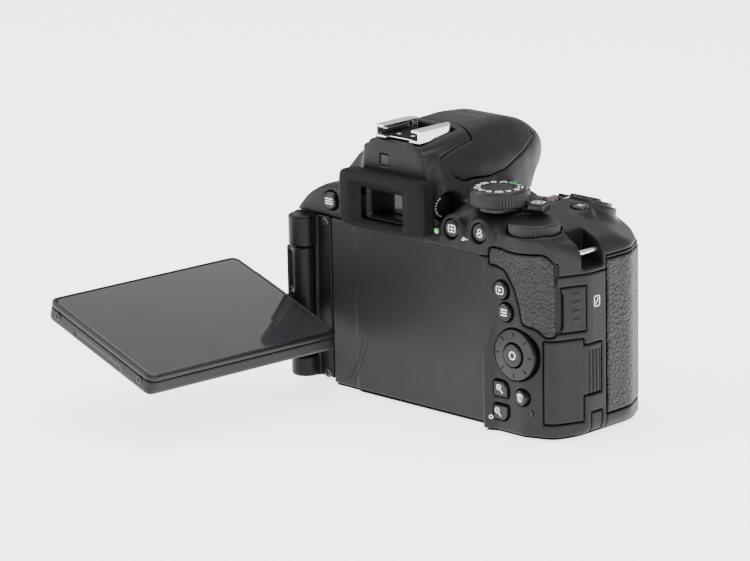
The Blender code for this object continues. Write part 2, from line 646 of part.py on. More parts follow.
def make_dials():
    dial = knurled(MODE_AT, MODE_R, 0.25, "Z", 75.6, 81.1, 48)
    join(dial, cylinder(MODE_AT, 2.9, "Z", 69.0, 76.0, 20))
    piece("mode_dial", dial, BLACK, (*MODE_AT, 78.0))
    lever = cylinder(MODE_AT, 7.7, "Z", 73.7, 75.3, 28)
    block = box((44.0, -8.2, 74.5), (53.6, -2.2, 75.3), 1.0)
    join(lever, turn_about(block, (*MODE_AT, 0), (0, 0, 1), math.radians(14)))
    cap = box((49.8, -8.0, 74.6), (55.4, -2.6, 76.6), 1.0)
    join(lever, turn_about(cap, (*MODE_AT, 0), (0, 0, 1), math.radians(14)))
    cut(lever, cylinder(MODE_AT, 3.2, "Z", 60, 90, 20))
    piece("live_view_lever", lever, BLACK, (*MODE_AT, 74.5))
    wheel = knurled(COMMAND_AT, COMMAND_R, 0.25, "Z", 67.4, COMMAND_TOP, 44)
    join(wheel, cylinder(COMMAND_AT, 1.2, "Z", 62.5, 68.0, 12))
    piece("command_dial", wheel, BLACK, (*COMMAND_AT, 70.0))
    x, y, z = SHUTTER_AT
    collar = cylinder((x, y), COLLAR_R, "Z", z - 1.8, z + 1.2, 32)
    join(collar, box((x - 3.2, y + 6.0, z - 0.2), (x + 3.2, y + 11.6, z + 1.0), 1.2))
    cut(collar, cylinder((x, y), 5.9, "Z", z - 9, z + 9, 28))
    profile = [(2.4, z - 5.0), (2.4, z - 0.9), (5.5, z - 0.8), (5.5, z + 1.6), (4.6, z + 2.2)]
    button = turned(profile, (x, y), "Z", 28)
    for name, part in (("power_collar", collar), ("shutter_button", button)):
        piece(name, turn_about(part, SHUTTER_AT, (1, 0, 0), -GRIP_SLOPE), GLOSS, SHUTTER_AT)
    diopter = knurled((-13.2, 72.0), 4.7, 0.3, "X", 15.0, 18.0, 20)
    piece("diopter_dial", diopter, BLACK, (16.5, -13.2, 72.0))


# ---------------------------------------------------------------- hump


def make_flash():
    seam = flash_seam(0.0)
    above = [(60, 110), (60, 90.0)] + seam[3:-1] + [(seam[-2][0], 110)]
    head = common(body(), prism(above, "X", -40.0, 40.0))
    cut(head, box((-HOUSING_HALF - GAP, -40.0, 60.0), (HOUSING_HALF + GAP, 5.6, 120.0)))
    inner = common(body(1.6), box((-HOUSING_HALF - GAP, 5.0, 60.0), (HOUSING_HALF + GAP, 25.4, 120.0)))
    cut(head, inner)
    slope = math.atan2(89.2 - 80.0, 41.6 - 16.0)
    mid = (0, 31.4, 80.0 + (31.4 - 16.0) * math.tan(slope))
    slot = box((-14.0, mid[1] - 5.4, mid[2] - 2.0), (14.0, mid[1] + 5.4, mid[2] + 2.0))
    lens = box((-13.6, mid[1] - 5.0, mid[2] + 0.3), (13.6, mid[1] + 5.0, mid[2] + 1.6))
    cut(head, turn_about(slot, mid, (1, 0, 0), slope))
    piece("flash_head", head, BLACK, FLASH_PIVOT)
    piece("flash_lens", turn_about(lens, mid, (1, 0, 0), slope), GLASS, FLASH_PIVOT)


def make_eyepiece():
    frame = box((-12.7, -17.6, 65.5), (12.7, -11.0, 76.5), 1.0, "Y")
    cut(frame, box((-10.0, -30, 66.6), (10.0, 0, 75.4), 1.0, "Y"))
    piece("eyepiece_frame", frame, BLACK)
    piece("eyepiece_lens", box((-9.7, -15.0, 66.9), (9.7, -12.5, 75.1), 0.8, "Y"), GLASS)
    cup = box((-20.3, -25.6, 62.4), (20.3, -18.2, 82.6), 4.0, "Y")
    cut(cup, box((-14.0, -22.6, 65.0), (14.0, -10, 77.0), 1.5, "Y"))
    mouth = loft([[(x, -22.4, z) for x, z in oblong(14.0, 6.0)], [(x, -27.0, z) for x, z in oblong(18.2, 9.6)]])
    cut(cup, mouth)
    piece("eyecup", cup, RUBBER)
    piece("eye_sensor_window", box((-5.7, -17.9, 83.9), (-1.9, -15.0, 87.5)), GLOSS)


def oblong(half_width, half_height):
    """A rounded window outline about the eyepiece's centre."""
    corners = [(-half_width, 71.0 - half_height, 1.5), (half_width, 71.0 - half_height, 1.5),
               (half_width, 71.0 + half_height, 1.5), (-half_width, 71.0 + half_height, 1.5)]
    return fillet(corners, 3)


def make_hot_shoe():
    shoe = box((-10.4, -15.8, 92.5), (10.4, 1.6, 97.1))
    cut(shoe, box((-9.35, -20.0, 93.4), (9.35, 0.6, 96.0)), box((-6.4, -20.0, 93.2), (6.4, 0.6, 100.0)))
    cut(shoe, box((-6.4, -20.0, 93.4), (6.4, 10.0, 100.0)))
    piece("hot_shoe", shoe, STEEL)


def make_lugs():
    for name, centre in LUG_AT.items():
        piece(name, cylinder(centre, LUG_R, "Y", -2.9, 5.8, 12), STEEL)


# ---------------------------------------------------------------- front and inside


def make_mount():
    ring = cylinder((0, AXIS_Z), FLANGE_R, "Y", 43.5, FLANGE_Y, 48)
    cut(ring, cylinder((0, AXIS_Z), THROAT_R, "Y", 40, 50, 48), cylinder(LOCK_PIN_AT, 1.4, "Y", 40, 50, 12))
    piece("lens_mount_ring", ring, STEEL)
    x, z = RELEASE_AT
    piece("lens_release_button", turned([(5.0, 11.0), (5.0, 20.6), (4.4, 21.2)], RELEASE_AT, "Y", 24), GLOSS)
    piece("lens_lock_pin", cylinder(LOCK_PIN_AT, 1.1, "Y", 38.0, FLANGE_Y + 1.4, 12), STEEL)


def make_mirror_box():
    case = box((-17.6, 5.6, 20.0), (17.6, 40.6, 57.4))
    cut(case, box((-16.0, 7.0, 21.6), (16.0, 50.0, 70.0)))
    cut(case, box((-12.6, 0.0, AXIS_Z - 8.6), (12.6, 10.0, AXIS_Z + 8.6)))
    piece("mirror_box", case, INNER)
    mirror = box((-14.0, 9.6, 50.2), (14.0, 39.4, 51.6))
    cut(mirror, box((-5.0, 18.0, 49.0), (5.0, 26.0, 53.0)))
    piece("reflex_mirror", turn_about(mirror, MIRROR_HINGE, (1, 0, 0), math.radians(-45)), MIRROR, MIRROR_HINGE)
    small = box((-8.0, 10.6, 38.9), (8.0, 17.6, 39.7))
    turn_about(small, SUB_HINGE, (1, 0, 0), math.radians(45 + 8))
    piece("sub_mirror", small, MIRROR, SUB_HINGE)
    piece("focusing_screen", box((-12.5, 11.5, 59.2), (12.5, 33.5, 60.6)), GLASS)


def make_inside():
    roof = [(8.0, 61.6), (30.0, 61.6), (30.0, 64.0), (19.0, 80.0), (12.0, 84.0), (6.0, 84.0), (-6.0, 77.0),
            (-6.0, 66.0)]
    piece("pentamirror", prism(roof, "X", -11.5, 11.5), MIRROR)
    shutter = box((-24.0, 0.8, 16.0), (24.0, 5.0, 56.0))
    cut(shutter, box((-12.4, -5.0, AXIS_Z - 8.4), (12.4, 10.0, AXIS_Z + 8.4)))
    piece("shutter_unit", shutter, INNER)
    sensor = box((-15.5, -4.0, AXIS_Z - 12.0), (15.5, -0.8, AXIS_Z + 12.0))
    join(sensor, box((-11.8, -1.5, AXIS_Z - 7.8), (11.8, 0.0, AXIS_Z + 7.8)))
    piece("image_sensor", sensor, GLASS)
    piece("main_board", box((-30.0, -10.5, 8.0), (34.0, -9.1, 56.0)), GREEN)
    piece("memory_card", box((35.5, -9.6, 8.0), (67.5, -7.5, 32.0)), BLACK)
    piece("battery", box((49.0, -6.5, 2.9), (63.0, 26.5, 52.0), 1.5), BLACK)
    bush = cylinder(TRIPOD_AT, 7.0, "Z", 0.0, 9.0, 24)
    cut(bush, cylinder(TRIPOD_AT, 3.2, "Z", -5.0, 7.0, 20))
    piece("tripod_bush", bush, STEEL)


def main():
    for old in list(bpy.data.objects):
        bpy.data.objects.remove(old)
    make_top_cover()
    make_rear_cover()
    make_front_cover()
    make_base_cover()
    make_rubber()
    make_doors()
    make_hinge_mount()
    make_hinge_arm()
    make_screen()
    make_keys()
    make_selector()
    make_dials()
    make_flash()
    make_eyepiece()
    make_hot_shoe()
    make_lugs()
    make_mount()
    make_mirror_box()
    make_inside()


main()
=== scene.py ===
"""The looks of a compact single-lens reflex camera body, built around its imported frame.

Lengths are in millimetres until a mesh is written. +X is right as seen from behind, +Y points to
the lens and +Z is up, as in the frame. Moulded covers are signed distance fields turned into
meshes; dials, keys, screws and the screen are lofted from outlines and turned profiles.
"""

import itertools
import json
import math

import bmesh
import bpy
import numpy as np
import openvdb
from mathutils import Matrix, Vector

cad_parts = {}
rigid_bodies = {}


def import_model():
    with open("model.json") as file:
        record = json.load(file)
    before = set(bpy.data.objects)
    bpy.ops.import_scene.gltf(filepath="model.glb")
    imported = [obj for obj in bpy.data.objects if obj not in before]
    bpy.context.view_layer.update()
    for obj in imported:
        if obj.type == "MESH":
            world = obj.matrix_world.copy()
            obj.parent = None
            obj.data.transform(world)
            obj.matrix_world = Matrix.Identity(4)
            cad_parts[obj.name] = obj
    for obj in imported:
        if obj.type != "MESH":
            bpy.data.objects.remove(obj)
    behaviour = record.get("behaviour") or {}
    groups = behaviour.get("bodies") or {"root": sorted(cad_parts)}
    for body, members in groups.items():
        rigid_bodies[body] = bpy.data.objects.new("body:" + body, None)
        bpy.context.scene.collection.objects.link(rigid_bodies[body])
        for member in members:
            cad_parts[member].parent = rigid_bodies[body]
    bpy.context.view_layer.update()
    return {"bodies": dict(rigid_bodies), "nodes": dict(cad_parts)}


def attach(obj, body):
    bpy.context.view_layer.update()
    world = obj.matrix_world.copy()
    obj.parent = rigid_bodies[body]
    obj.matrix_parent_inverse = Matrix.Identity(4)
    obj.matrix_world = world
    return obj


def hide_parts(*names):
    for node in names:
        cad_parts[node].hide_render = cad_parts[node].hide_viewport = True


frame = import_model()

MM = 0.001
SEAM = 0.16  # half the gap between covers
WALL = 2.0

# Outer body, as in the frame
LEFT, RIGHT = -52.2, 73.3
DECK_Z = 73.4
BAY_Y, BAY_RIGHT, BAY_TOP = -14.2, 41.5, 60.8
STRIP_RIGHT, STRIP_Y = -34.5, -5.3
LID_Z, SIDE_SEAM_Z, BASE_Z = 60.35, 55.85, 1.0
FRONT_SEAM_Y = 6.6
PAD_RIGHT = 68.45
AXIS_Z = 37.5
# Outlines of the body from above, behind and the side, and of the screen bay: (a, b, corner radius)
PLAN = [
    (LEFT, -14.0, 1.5), (-23.0, -14.0, 0.5), (-21.0, -20.0, 1.0), (42.5, -20.0, 1.0),
    (46.0, -18.0, 2.0), (58.0, -18.0, 9.0), (68.0, -14.2, 7.0), (RIGHT, -2.0, 12.0),
    (RIGHT, 18.5, 14.0), (67.3, 29.8, 16.0), (57.3, 38.0, 12.0), (47.5, 40.2, 8.0),
    (38.0, 38.6, 7.0), (33.8, 27.0, 9.0), (31.5, 17.0, 3.0), (LEFT, 17.0, 9.0),
]
BACK = [
    (LEFT - 1.2, 0.0, 3.2), (70.6, 0.0, 4.0), (RIGHT + 1.2, 3.6, 3.0), (RIGHT + 1.2, 60.2, 6.0),
    (70.0, 66.0, 8.0), (59.0, 70.9, 20.0), (50.0, DECK_Z, 10.0), (-26.0, DECK_Z, 20.0),
    (-39.0, 71.2, 14.0), (-47.5, 67.6, 7.0), (LEFT - 1.2, 58.9, 6.0),
]
SIDE = [
    (-24.0, -1.2, 0), (29.3, -1.2, 8.0), (44.0, 9.0, 0), (44.0, 55.0, 0), (39.4, 65.4, 5.0),
    (36.0, 67.1, 5.0), (8.0, 76.1, 8.0), (-6.0, 76.0, 0), (-13.0, 71.4, 3.0), (-17.4, 67.4, 3.0),
    (-20.0, 62.0, 0), (-24.0, 55.0, 0),
]
BAY = [
    (-70.0, -12.0, 0), (BAY_RIGHT, -12.0, 0), (BAY_RIGHT, 27.0, 3.0), (46.2, 39.0, 3.5),
    (46.2, 45.8, 3.0), (BAY_RIGHT + 0.4, 50.5, 2.5), (BAY_RIGHT + 0.4, BAY_TOP, 5.0), (-70.0, BAY_TOP, 0),
]
# Outline of the thumb rubber from behind
THUMB = [
    (44.0, 57.8, 1.0), (50.2, 56.4, 3.0), (54.2, 51.0, 6.0), (56.4, 44.5, 4.0), (57.6, 39.2, 2.0),
    (62.4, 37.8, 3.0), (65.4, 35.4, 1.0), (68.0, 35.4, 1.2), (68.0, 59.8, 4.0), (65.8, 63.4, 3.0),
    (44.0, 63.4, 0.8),
]
# Hump: y, top, half widths at crown, shoulder and foot, height of the underside
HUMP = np.array([
    (-17.8, 92.4, 10.6, 14.8, 17.0, 58.0), (-8.0, 94.4, 11.4, 17.4, 21.0, 58.0),
    (4.0, 95.7, 12.0, 19.6, 23.0, 58.0), (16.0, 96.2, 12.0, 19.8, 23.0, 58.0),
    (27.0, 95.4, 11.6, 18.8, 18.4, 60.0), (35.0, 93.0, 11.0, 16.8, 15.8, 74.6),
    (40.5, 90.4, 9.6, 14.2, 13.2, 77.8), (44.8, 87.2, 7.0, 10.6, 9.4, 80.2),
])
FLASH_PIVOT, FLASH_ARM_R, HOUSING_HALF = (-2.0, 88.0), 8.8, 14.75
FLASH_TILT = math.atan2(89.2 - 80.0, 41.6 - 16.0)

# Screen, in its own axes: length from the hinge, width, thickness
SWING, HINGE_OFFSET, TILT_Z = (-47.0, -15.0), 2.9, 29.5
SWUNG_BACK, SCREEN_TILT = math.radians(4.5), math.radians(16.8)
SCREEN_NEAR, SCREEN_FAR, SCREEN_HALF = 6.2, 88.2, 29.2
SCREEN_LOW, SCREEN_PART, SCREEN_TOP = -4.5, 0.75, 3.0
LUG_DEPTH = 0.5
ARM_LOW, ARM_HIGH = 10.0, 48.6

# Controls: (x, y), (x, z) or (x, y, z); keys as (x, z, radius, y of the face)
MODE, MODE_R = (39.0, -8.0), 9.7
COMMAND, COMMAND_R = (56.0, -9.5), 8.6
SHUTTER, GRIP_SLOPE = (47.0, 26.0, 71.5), math.radians(18.0)
SELECTOR, SELECTOR_R = (54.6, 28.4), 8.6
DIOPTER_Y, DIOPTER_Z = -13.2, 72.0
BAND_KEYS = {"menu_button": (-34.0, 66.3, 3.1, -15.2), "info_button": (27.2, 67.0, 3.2, -18.6),
             "exposure_lock_button": (39.6, 67.4, 3.2, -18.4)}
PANEL_KEYS = {"play_button": (48.9, 49.6, 3.0, -19.0), "quick_menu_button": (50.6, 42.3, 3.0, -19.0),
              "delete_button": (57.3, 14.2, 2.6, -19.0)}
ZOOM_KEYS = {"zoom_in_button": (13.0, 18.3, True), "zoom_out_button": (5.0, 10.1, False)}  # low, high, upper
MOVIE, COMPENSATION = (44.8, 11.4), (55.6, 13.6)
LEVER_TURN = math.radians(14)
FLASH_KEY, RELEASE, LOCK_PIN, TRIPOD = (-38.0, 65.0), (-38.0, 34.0), (-24.4, AXIS_Z), (0, 20)

ACROSS, AHEAD, UP = (1, 0, 0), (0, 1, 0), (0, 0, 1)
MARK_PROUD, MARK_ROOT = 0.05, -0.15  # a mark's face and back, from its surface: print, and also the marks of painted shade and painted glow
CAMERA_YAW, CAMERA_PITCH, CAMERA_ROLL = math.radians(44.718), math.radians(14.735), math.radians(-1.196)
CAMERA_AT, CAMERA_LENS, SENSOR_WIDTH = (0.87999, -0.91639, 0.37537), 184.64, 36.0
LOOKS = {}


# ---------------------------------------------------------------- distance fields


class Space:
    """The points of a grid, in millimetres."""

    def __init__(self, low, high, step):
        self.low, self.step = np.array(low, np.float32), step
        spans = []
        for a, b in zip(low, high):
            spans.append(np.arange(int(math.ceil((b - a) / step)) + 1, dtype=np.float32) * step + a)
        self.x, self.y, self.z = spans[0][:, None, None], spans[1][None, :, None], spans[2][None, None, :]
        self.shape = tuple(len(span) for span in spans)

    def turned(self, point, axis, angle):
        """The same points seen from a frame that is turned about a line."""
        spin = Matrix.Rotation(-angle, 3, Vector(axis))
        offsets = [self.x - point[0], self.y - point[1], self.z - point[2]]
        view = Space.__new__(Space)
        view.x, view.y, view.z = [
            sum(np.float32(spin[row][column]) * offsets[column] for column in range(3)) + point[row]
            for row in range(3)
        ]
        return view


def smin(a, b, k):
    """The union of two fields, blended over a width k."""
    h = np.clip(0.5 + 0.5 * (b - a) / k, 0.0, 1.0)
    return b + (a - b) * h - k * h * (1.0 - h)


def smax(a, b, k):
    """The intersection of two fields, blended over a width k."""
    return -smin(-a, -b, k)


def cut(field, tool, k=0.5):
    """The field less a tool, their edge rounded over a width k."""
    return smax(field, -tool, k)


def holes(s, field, *rows):
    """Cuts round holes, each (axis, centre, radius, low, high, width of the rounded edge)."""
    for axis, centre, radius, low, high, k in rows:
        field = cut(field, rod(s, axis, centre, radius, low, high, 0.1), k)
    return field


def slots(s, field, *rows):
    """Cuts boxes, each (low corner, high corner, radius, width of the rounded edge)."""
    for low, high, radius, k in rows:
        field = cut(field, box(s, low, high, radius), k)
    return field


def box(s, low, high, radius):
    """A box between two corners, its edges rounded."""
    reach = []
    for points, a, b in zip((s.x, s.y, s.z), low, high):
        reach.append(np.abs(points - (a + b) / 2) - (b - a) / 2 + radius)
    outside = np.sqrt(sum(np.maximum(r, 0.0) ** 2 for r in reach))
    return outside + np.minimum(np.maximum(np.maximum(*reach[:2]), reach[2]), 0.0) - radius


def rod(s, axis, centre, size, low, high, radius):
    """A cylinder from its axis, centre across it, radius and ends, its rims rounded."""
    a, b, t = {"X": (s.y, s.z, s.x), "Y": (s.x, s.z, s.y), "Z": (s.x, s.y, s.z)}[axis]
    across = np.sqrt((a - centre[0]) ** 2 + (b - centre[1]) ** 2) - size + radius
    along = np.abs(t - (low + high) / 2) - (high - low) / 2 + radius
    outside = np.sqrt(np.maximum(across, 0.0) ** 2 + np.maximum(along, 0.0) ** 2)
    return outside + np.minimum(np.maximum(across, along), 0.0) - radius


def polygon(points, a, b):
    """The signed distance to a closed outline in a plane."""
    nearest, inside = np.float32(1e9), False
    for (x0, y0), (x1, y1) in zip(points, points[1:] + points[:1]):
        dx, dy = x1 - x0, y1 - y0
        length = dx * dx + dy * dy
        if length < 1e-9:
            continue
        along = np.clip(((a - x0) * dx + (b - y0) * dy) / length, 0.0, 1.0)
        nearest = np.minimum(nearest, (a - x0 - along * dx) ** 2 + (b - y0 - along * dy) ** 2)
        if abs(dy) > 1e-9:
            inside = inside ^ (((y0 > b) != (y1 > b)) & (a < (b - y0) * dx / dy + x0))
    return np.where(inside, -1.0, 1.0).astype(np.float32) * np.sqrt(nearest)


def fillet(corners, steps=10):
    """An outline from (a, b, radius) corners, its corners rounded by arcs."""
    out, count = [], len(corners)
    for i, (a, b, *rest) in enumerate(corners):
        here, radius = Vector((a, b)), (rest or [0.0])[0]
        if radius <= 0:
            out.append((a, b))
            continue
        before = (Vector(corners[i - 1][:2]) - here).normalized()
        after = (Vector(corners[(i + 1) % count][:2]) - here).normalized()
        half = before.angle(after) / 2
        centre = here + (before + after).normalized() * (radius / math.sin(half))
        start = here + before * (radius / math.tan(half)) - centre
        end = here + after * (radius / math.tan(half)) - centre
        turn = start.angle_signed(end)
        out += [tuple(centre + Matrix.Rotation(-turn * k / steps, 2) @ start) for k in range(steps + 1)]
    return out


def rectangle(low, high, radius):
    """The four corners between a low and a high one, each with its radius."""
    return [(*low, radius), (high[0], low[1], radius), (*high, radius), (low[0], high[1], radius)]


# ---------------------------------------------------------------- the body's form


def eased(spots, knots, values):
    """Values between knots, with the bends smoothed over about 8 mm."""
    fine = np.arange(knots[0] - 12.0, knots[-1] + 12.0, 0.5)
    inner = np.interp(fine, knots, values)
    inner += np.minimum(fine - knots[0], 0.0) * (values[1] - values[0]) / (knots[1] - knots[0])
    inner += np.maximum(fine - knots[-1], 0.0) * (values[-1] - values[-2]) / (knots[-1] - knots[-2])
    weights = np.hanning(17)
    return np.interp(spots, fine, np.convolve(inner, weights / weights.sum(), "same")).astype(np.float32)


def hump(s):
    """The viewfinder hump, its walls leaning in from foot to shoulder and the roof rolled over."""
    top, crown, shoulder, foot, floor = [eased(s.y, HUMP[:, 0], HUMP[:, i]) for i in range(1, 6)]
    aside = np.abs(s.x)
    wall = aside - shoulder - (foot - shoulder) * np.clip((80.5 - s.z) / 12.0, 0.0, 1.2)
    rise, run = top - 0.3 - 86.0, shoulder - 0.4 - crown
    slant = ((aside - shoulder + 0.4) * rise + (s.z - 86.0) * run) / np.sqrt(rise**2 + run**2)
    roof = smax(slant, s.z - top, 3.0)
    form = smax(smax(wall * 0.97, roof, 3.2), floor - s.z, 1.6)
    return smax(smax(form, HUMP[0, 0] - s.y, 1.6), s.y - HUMP[-1, 0], 2.4)


def housing(s):
    """The block above the eyepiece that carries the eye sensor, and the shoe's stepped base."""
    block = box(s, (-14.5, -17.8, 70.0), (14.5, 6.0, 90.2), 1.3)
    slope = (s.z - 90.2) * 0.8 + (np.abs(s.x) - 14.5) * 0.45
    block = smax(block, slope, 0.8)
    step = box(s, (-12.2, -16.9, 86.0), (12.2, 4.6, 91.6), 0.6)
    return smin(block, step, 0.7)


def shoulders(s):
    """Mounds at the foot of the hump, wider on the side without the dials."""
    fall = 88.5 - s.z
    left = -s.x - 17.6 - 0.95 * fall
    right = s.x - 15.6 - 0.45 * fall
    side = np.maximum(left / 1.38, right / 1.1)
    form = smax(smax(side, s.z - 87.5, 3.0), 76.0 - s.z, 3.0)
    return smax(form, np.abs(s.y + 3.6) - 11.4, 4.0)


def mount_housing(s):
    drum = rod(s, "Y", (0, AXIS_Z), 29.4, 8.0, 43.2, 1.4)
    foot = box(s, (-25.0, 8.0, 2.7), (25.0, 41.5, AXIS_Z), 3.0)
    neck = box(s, (-16.0, 8.0, AXIS_Z), (16.0, 31.0, 76.6), 4.5)
    return smin(smin(drum, foot, 3.0), neck, 5.0)


def key_bosses(s):
    """Raised rims and wells round keys and dials, and the bulge over the eyesight wheel."""
    rims = smin(rod(s, "Y", (27.2, 67.0), 4.9, -19.0, -10.0, 0.9),
                rod(s, "Y", (39.6, 67.4), 4.9, -18.9, -10.0, 0.9), 0.5)
    bulge = rod(s, "X", (-11.6, 72.0), 7.0, 10.0, 20.4, 2.0)
    tilted = s.turned(SHUTTER, ACROSS, -GRIP_SLOPE)
    wells = smin(rod(s, "Z", COMMAND, COMMAND_R + 1.5, 62.0, 68.7, 0.6),
                 rod(tilted, "Z", SHUTTER[:2], 11.0, SHUTTER[2] - 6.0, SHUTTER[2] - 0.6, 0.8), 1.0)
    for centre, size, top in ((MOVIE, 4.0, 74.0), (COMPENSATION, 4.6, 72.5)):
        wells = smin(wells, rod(s, "Z", centre, size, 62.0, top, 1.2), 2.0)
    return smin(smin(rims, bulge, 1.0), wells, 2.0)


def body(s):
    """The whole outside, before it is parted into covers. Two slanted planes bevel its upper corners."""
    form = smax(polygon(fillet(PLAN), s.x, s.y), polygon(fillet(BACK), s.x, s.z), 2.2)
    form = smax(form, polygon(fillet(SIDE), s.y, s.z), 2.2)
    grip_corner = (s.z - 65.2 + 0.62 * (0.71 * s.x + 0.70 * s.y - 61.0)) / 1.18
    left_corner = (s.z - 65.4 - 0.5 * (s.y + 14.0) - 0.8 * (s.x + 48.0)) / 1.375
    form = smax(smax(form, grip_corner, 1.6), left_corner, 3.0)
    form = smin(form, mount_housing(s), 3.0)
    form = smin(form, hump(s), 5.0)
    form = smin(form, key_bosses(s), 2.6)
    bay = np.maximum(polygon(fillet(BAY), s.x, s.z), s.y - BAY_Y)
    form = cut(form, bay, 0.9)
    return cut(form, box(s, (-70, -40, -12), (STRIP_RIGHT, STRIP_Y, BAY_TOP), 0.6), 0.6)


def flash_line(s):
    """Negative under the line where the flash head rests."""
    points = [(-60, -20), (60, -20), (60, 90.0), (41.6, 89.2), (16.0, 80.0), (8.0, 79.0)]
    y, z = FLASH_PIVOT
    for degrees in range(-75, -256, -9):
        turn = math.radians(degrees)
        points.append((y + FLASH_ARM_R * math.cos(turn), z + FLASH_ARM_R * math.sin(turn)))
    return polygon(points + [(-60, 100.0)], s.y, s.z)


def side_box(s, low, high):
    """A sharp box, for the regions that part the covers."""
    return box(s, low, high, 0.01)


def lid(s):
    """Negative in the top cover's share of the body."""
    region = np.minimum(side_box(s, (-70, -45, LID_Z), (90, 60, 120)),
                        side_box(s, (PAD_RIGHT, -45, SIDE_SEAM_Z), (90, FRONT_SEAM_Y, 62)))
    region = np.maximum(region, -np.maximum(thumb_share(s) - 0.1, s.y + 6.0))
    return np.maximum(region, -side_box(s, (-30.85, 20.85, 40.0), (30.85, 70.0, 70.15)))


def apart(field, *regions):
    """A cover that keeps clear of its neighbours' shares, its rims slightly broken."""
    for region in regions:
        field = smax(field, region + SEAM, 0.45)
    return field


def pocket(field, whole, hollow, wall):
    """A walled recess: the wall stays inside the body."""
    lining = smax(hollow - wall, whole + 0.3, 0.3)
    return cut(smin(field, lining, 0.3), hollow, 0.5)


def thumb_share(s):
    return polygon(fillet(THUMB), s.x, s.z)


def grip_share(s):
    return side_box(s, (33.9, 6.9, 6.2), (90, 60, 59.1))


def card_share(s):
    door, tab = ((64.4, -30, 5.6), (90, -3.6, 34.2)), ((66.0, -5.0, 14.5), (90, 4.3, 32.0))
    return np.minimum(side_box(s, *door), side_box(s, *tab))


def hdmi_share(s):
    return side_box(s, (68.7, -14.0, 36.6), (90, -2.6, 52.2))


def terminal_share(s):
    return side_box(s, (-90, -3.4, 14.0), (LEFT + 3.0, 5.6, 51.0))


def flap_share(s):
    return side_box(s, (68.0, -1.0, -5.0), (90, 4.4, 8.4))


# ---------------------------------------------------------------- meshes


def sample(values, points):
    """Grid values at fractional grid positions."""
    limit = np.array(values.shape) - 2
    base = np.clip(np.floor(points).astype(np.int32), 0, limit)
    part = (points - base).astype(np.float32)
    total = 0.0
    for step in itertools.product((0, 1), repeat=3):
        weight = 1.0
        for axis in range(3):
            weight = weight * (part[:, axis] if step[axis] else 1 - part[:, axis])
        total = total + weight * values[tuple((base + step).T)]
    return total


def slope(values, points, reach=0.6):
    """The unit normals of a field at fractional grid positions."""
    rows = []
    for axis in range(3):
        offset = np.zeros(3, np.float32)
        offset[axis] = reach
        rows.append(sample(values, points + offset) - sample(values, points - offset))
    normal = np.stack(rows, axis=1)
    return normal / np.maximum(np.linalg.norm(normal, axis=1, keepdims=True), 1e-9)


def add_object(name, mesh, look, body_name=None):
    """Links a piece. It stands for the CAD node of its own name and rides on that body, if there is one."""
    body_name = body_name or (name if name in frame["bodies"] else "camera")
    replaced = [name] if name in frame["nodes"] else []
    mesh.materials.append(LOOKS[look])
    obj = bpy.data.objects.new(name, mesh)
    bpy.context.scene.collection.objects.link(obj)
    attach(obj, body_name)
    if replaced:
        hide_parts(*replaced)
    return obj


def sculpt(name, field, low, high, step, look, body_name=None, place=None):
    """Meshes a field's zero surface. Its normals come from the field, so that it shades smoothly."""
    s = Space(low, high, step)
    values = np.ascontiguousarray(np.broadcast_to(field(s), s.shape), dtype=np.float32)
    values = np.clip(values, -3 * step, 3 * step)
    grid = openvdb.FloatGrid(3 * step)
    grid.copyFromArray(values)
    points, quads = grid.convertToQuads(isovalue=0.0)
    normals = slope(values, points)
    points = points - normals * (sample(values, points) / step)[:, None] * 0.8
    corners = points[quads]
    facing = np.cross(corners[:, 2] - corners[:, 0], corners[:, 3] - corners[:, 1])
    if (facing * normals[quads[:, 0]]).sum() < 0:
        quads = quads[:, ::-1]
    spots = (points * step + s.low) * MM
    mesh = bpy.data.meshes.new(name)
    mesh.vertices.add(len(spots))
    mesh.vertices.foreach_set("co", spots.astype(np.float32).ravel())
    mesh.loops.add(quads.size)
    mesh.loops.foreach_set("vertex_index", quads.astype(np.int32).ravel())
    mesh.polygons.add(len(quads))
    mesh.polygons.foreach_set("loop_start", np.arange(0, quads.size, 4, dtype=np.int32))
    mesh.update(calc_edges=True)
    mesh.shade_smooth()
    mesh.normals_split_custom_set_from_vertices(slope(values, points, 0.9))
    if place is not None:
        mesh.transform(place)
    return add_object(name, mesh, look, body_name)


def loft(name, loops, look, body_name=None, slot=None, sharp=32, place=None, caps=True):
    """A solid through closed loops of equally many points. Without caps, the last loop joins the first."""
    bm = bmesh.new()
    rows = [[bm.verts.new(Vector(p) * MM) for p in loop] for loop in loops]
    count = len(rows[0])
    for low, high in zip(rows, rows[1:] if caps else rows[1:] + rows[:1]):
        for i in range(count):
            j = (i + 1) % count
            bm.faces.new((low[i], low[j], high[j], high[i]))
    if caps:
        bm.faces.new(rows[0][::-1])
        bm.faces.new(rows[-1])
    bmesh.ops.recalc_face_normals(bm, faces=bm.faces)
    mesh = bpy.data.meshes.new(name)
    bm.to_mesh(mesh)
    bm.free()
    if place is not None:
        mesh.transform(place)
    mesh.shade_smooth()
    mesh.set_sharp_from_angle(angle=math.radians(sharp))
    return add_object(name, mesh, look, body_name)


def rolled(low, high, edge, steps=4):
    """(inset, height) pairs that round a slab's two rims."""
    pairs = []
    for i in range(steps + 1):
        turn = math.pi / 2 * i / steps
        pairs.append((edge * (1 - math.sin(turn)), low + edge * (1 - math.cos(turn))))
    return pairs + [(inset, high + low - height) for inset, height in reversed(pairs)]


def slab(name, corners, low, high, edge, look, body_name=None, place=None, **more):
    """A plate with a filleted outline and rounded rims, upright on its own axes."""
    loops = []
    for inset, height in rolled(low, high, edge):
        loops.append([(a, b, height) for a, b in fillet(inward(corners, inset))])
    return loft(name, loops, look, body_name, place=place, **more)


